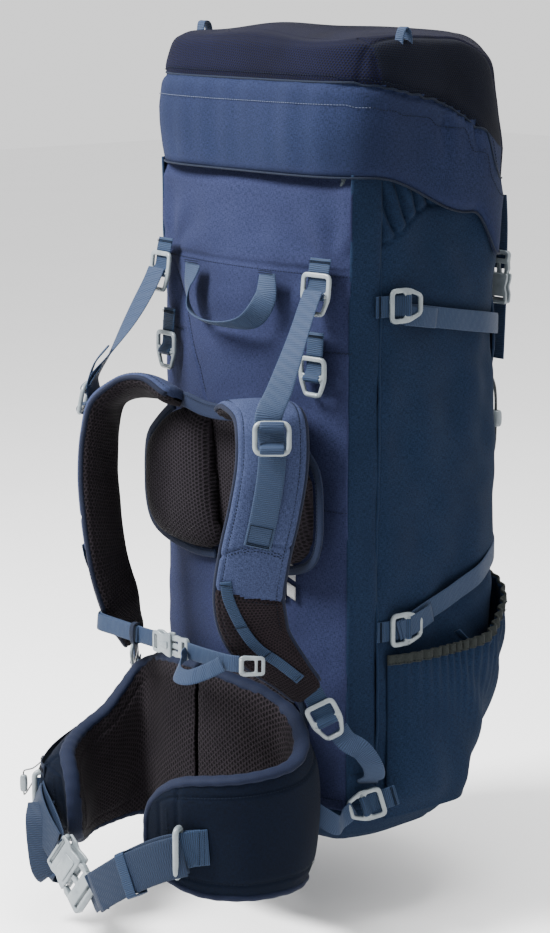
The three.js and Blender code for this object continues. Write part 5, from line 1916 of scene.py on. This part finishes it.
def make_belt_fittings():
    for side, sign in SIDES:
        body = side + "_belt"
        node = side + "_belt_ring"
        seat = Seat(node_centre(node), (sign * 0.86, 0.5, 0), (sign * 0.5, -0.86, 0))
        loop = rounded(rectangle(-23, 23, -6.2, 6.2), 6, 8)
        path = seat.at(np.column_stack([loop, np.zeros(len(loop))]))
        path = resample(np.vstack([path, path[:1]]), 91)[:-1]
        ring = Shape()
        add_closed_tube(ring, path, 2.9, 12)
        made = ring.make(side + "_belt_ring_frame", PLASTIC, body, "hardware")
        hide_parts(node)
        tab = Shape()
        route = [(122, -285, 46), (114, -297, 45), (107, -306, 43), (104, -305, 43),
            (109, -296, 44), (120, -284, 45)]
        if sign < 0:
            route = [(-80, -288, 46), (-91, -299, 45), (-102, -307, 43), (-106, -311, 42),
                (-103, -304, 42), (-92, -292, 44)]
        add_band(tab, route, (0, 0, 1), 35, 1.9, 50)
        tab.make(side + "_belt_ring_tab", STRAP_DARK, body, "belt_webbing")
        rows = Shape()
        for shift in (0, 4):
            p = np.array((119 - shift * 0.6, -287.5 - shift, 0) if sign > 0 else (-86 - shift,
                -296 - shift, 0))
            line = [p + np.array([sign * 1.2, -1.2, z]) for z in (29, 61)]
            add_stitches(rows, line, (sign * 0.8, -0.6, 0), 1.9, 1.7, 0.42)
        rows.make(side + "_belt_tab_tacks", NAVY_THREAD, body, "belt_webbing")
    right = Shape()
    line = spline([(111, -305, 40), (96, -315, 34), (62, -330, 14), (30, -342, -9)], 30)
    leans = lerp(np.array([-0.25, 0, 0.97]), np.array([-0.6, 0, 0.8]),
        np.linspace(0, 1, 30)[:, None])
    belt_loop(right, line, leans, 15, 38)
    add_band(right, [(34, -338, -8), (20, -337, -13), (6, -334, -22)], (-0.6, 0, 0.8), 36, 2.0, 20)
    made = right.make("right_belt_strap", STRAP_BELT, "right_belt", "belt_webbing")
    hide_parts("right_belt_webbing")
    keep = Shape()
    along = unit(line[18] - line[16])
    seat = Seat(line[17], np.cross(along, unit(leans[17])), leans[17])
    hoop = seat.at([(0, 20.6 * a, 9.6 * b) for a, b in ((1, 1), (-1, 1), (-1, -1), (1, -1), (1,
        1))])
    add_band(keep, resample(hoop, 60), along, 11, 1.8)
    keep.make("right_belt_keeper", STRAP_DARK, "right_belt", "belt_webbing")
    left = Shape()
    line = spline([(-104, -314, 42), (-95, -319, 37), (-78, -325, 27), (-48, -333, 11)], 30)
    belt_loop(left, line, (0.5, 0, 0.85), 6, 36)
    hang = [
        (-88, -321, 42),
        (-80, -330, 30),
        (-74, -333, 4),
        (-69, -332, -20),
        (-66, -328, -27),
        (-66, -323, -10),
        (-70, -322, 14),
    ]
    add_band(left, hang, (0.85, 0.5, 0.1), 28, 1.9, 80)
    made = left.make("left_belt_strap", STRAP_BELT, "left_belt", "belt_webbing")
    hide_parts("left_belt_webbing")
    along = unit((0.8, -0.12, -0.58))
    socket = Shape()
    socket_half(socket, Seat(node_centre("belt_socket"), (0, -1, 0.1), along), 44, 34, 11)
    made = socket.make("belt_socket_housing", PLASTIC, "left_belt", "hardware")
    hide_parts("belt_socket")
    plug = Shape()
    plug_half(plug, Seat(node_centre("belt_plug"), (0, -1, 0.1), -along), 44, 30, 11)
    made = plug.make("belt_plug_prongs", PLASTIC, "right_belt", "hardware")
    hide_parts("belt_plug")


def make_anchor_webbing():
    for side, sign in SIDES:
        route = mirror(
            [(150, -151, 137), (157, -146, 126), (167, -137, 118), (172, -127, 102),
            (163, -116, 86), (148, -110, 77), (142, -104, 72)],
            sign,
        )
        shape = Shape()
        add_band(shape, route, (sign * 0.66, 0.75, 0), 20, 1.8, 60)
        strap = shape.make(
            side + "_adjuster_strap",
            STRAP,
            slot="webbing",
            blend=("bag", "harness", point(0, -110, 82), point(0, -150, 130)),
        )
        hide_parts(side + "_adjuster_webbing")
        route = mirror([(141, -121, 49), (140, -133, 42), (146, -146, 40), (140, -160, 50),
            (124, -170, 62), (117, -176, 66)], sign)
        shape = Shape()
        add_band(shape, route, (0, 0, 1), 19, 1.7, 50)
        shape.make(
            side + "_stabilizer_strap",
            STRAP,
            slot="webbing",
            blend=("bag", side + "_belt", point(sign * 141, -123, 50),
            point(sign * 122, -170, 62)),
        )


def make_size_tags():
    shape = Shape()
    stripes = ((0, 246), (1, 250), (0, 254), (1, 259), (0, 264), (1, 269), (0, 274), (1, 279))
    for finish, z in stripes:
        x = np.linspace(57, 70, 8)
        line = back_point(x, z + (x - 57) * 0.1, 2.4)
        add_band(shape, line, (0, 0, 1), 4.2, 0.8, finish=finish)
    for low, high in ((247, 260), (266, 280)):
        rows = []
        for t in np.linspace(0, 1, 6):
            x = np.linspace(72.5, 82, 6)
            rows.append(back_point(x, lerp(low, high, t) - (x - 72.5) * 0.45 + 3, 2.6))
        shape.grid(np.array(rows))
    shape.make("back_size_tags", [TAG_WHITE, TAG_GREY], "bag", "body_fabric", shell=0.6)


def finish_hidden_parts():
    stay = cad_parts["frame_stay"]
    stay.data.materials.clear()
    stay.data.materials.append(METAL)


make_yoke()
make_shoulder_straps()
make_sternum_strap()
for side_name, side_sign in SIDES:
    make_wing(side_name, side_sign)
make_wing_pocket()
make_lumbar()
make_belt_fittings()
make_anchor_webbing()
make_size_tags()
finish_hidden_parts()
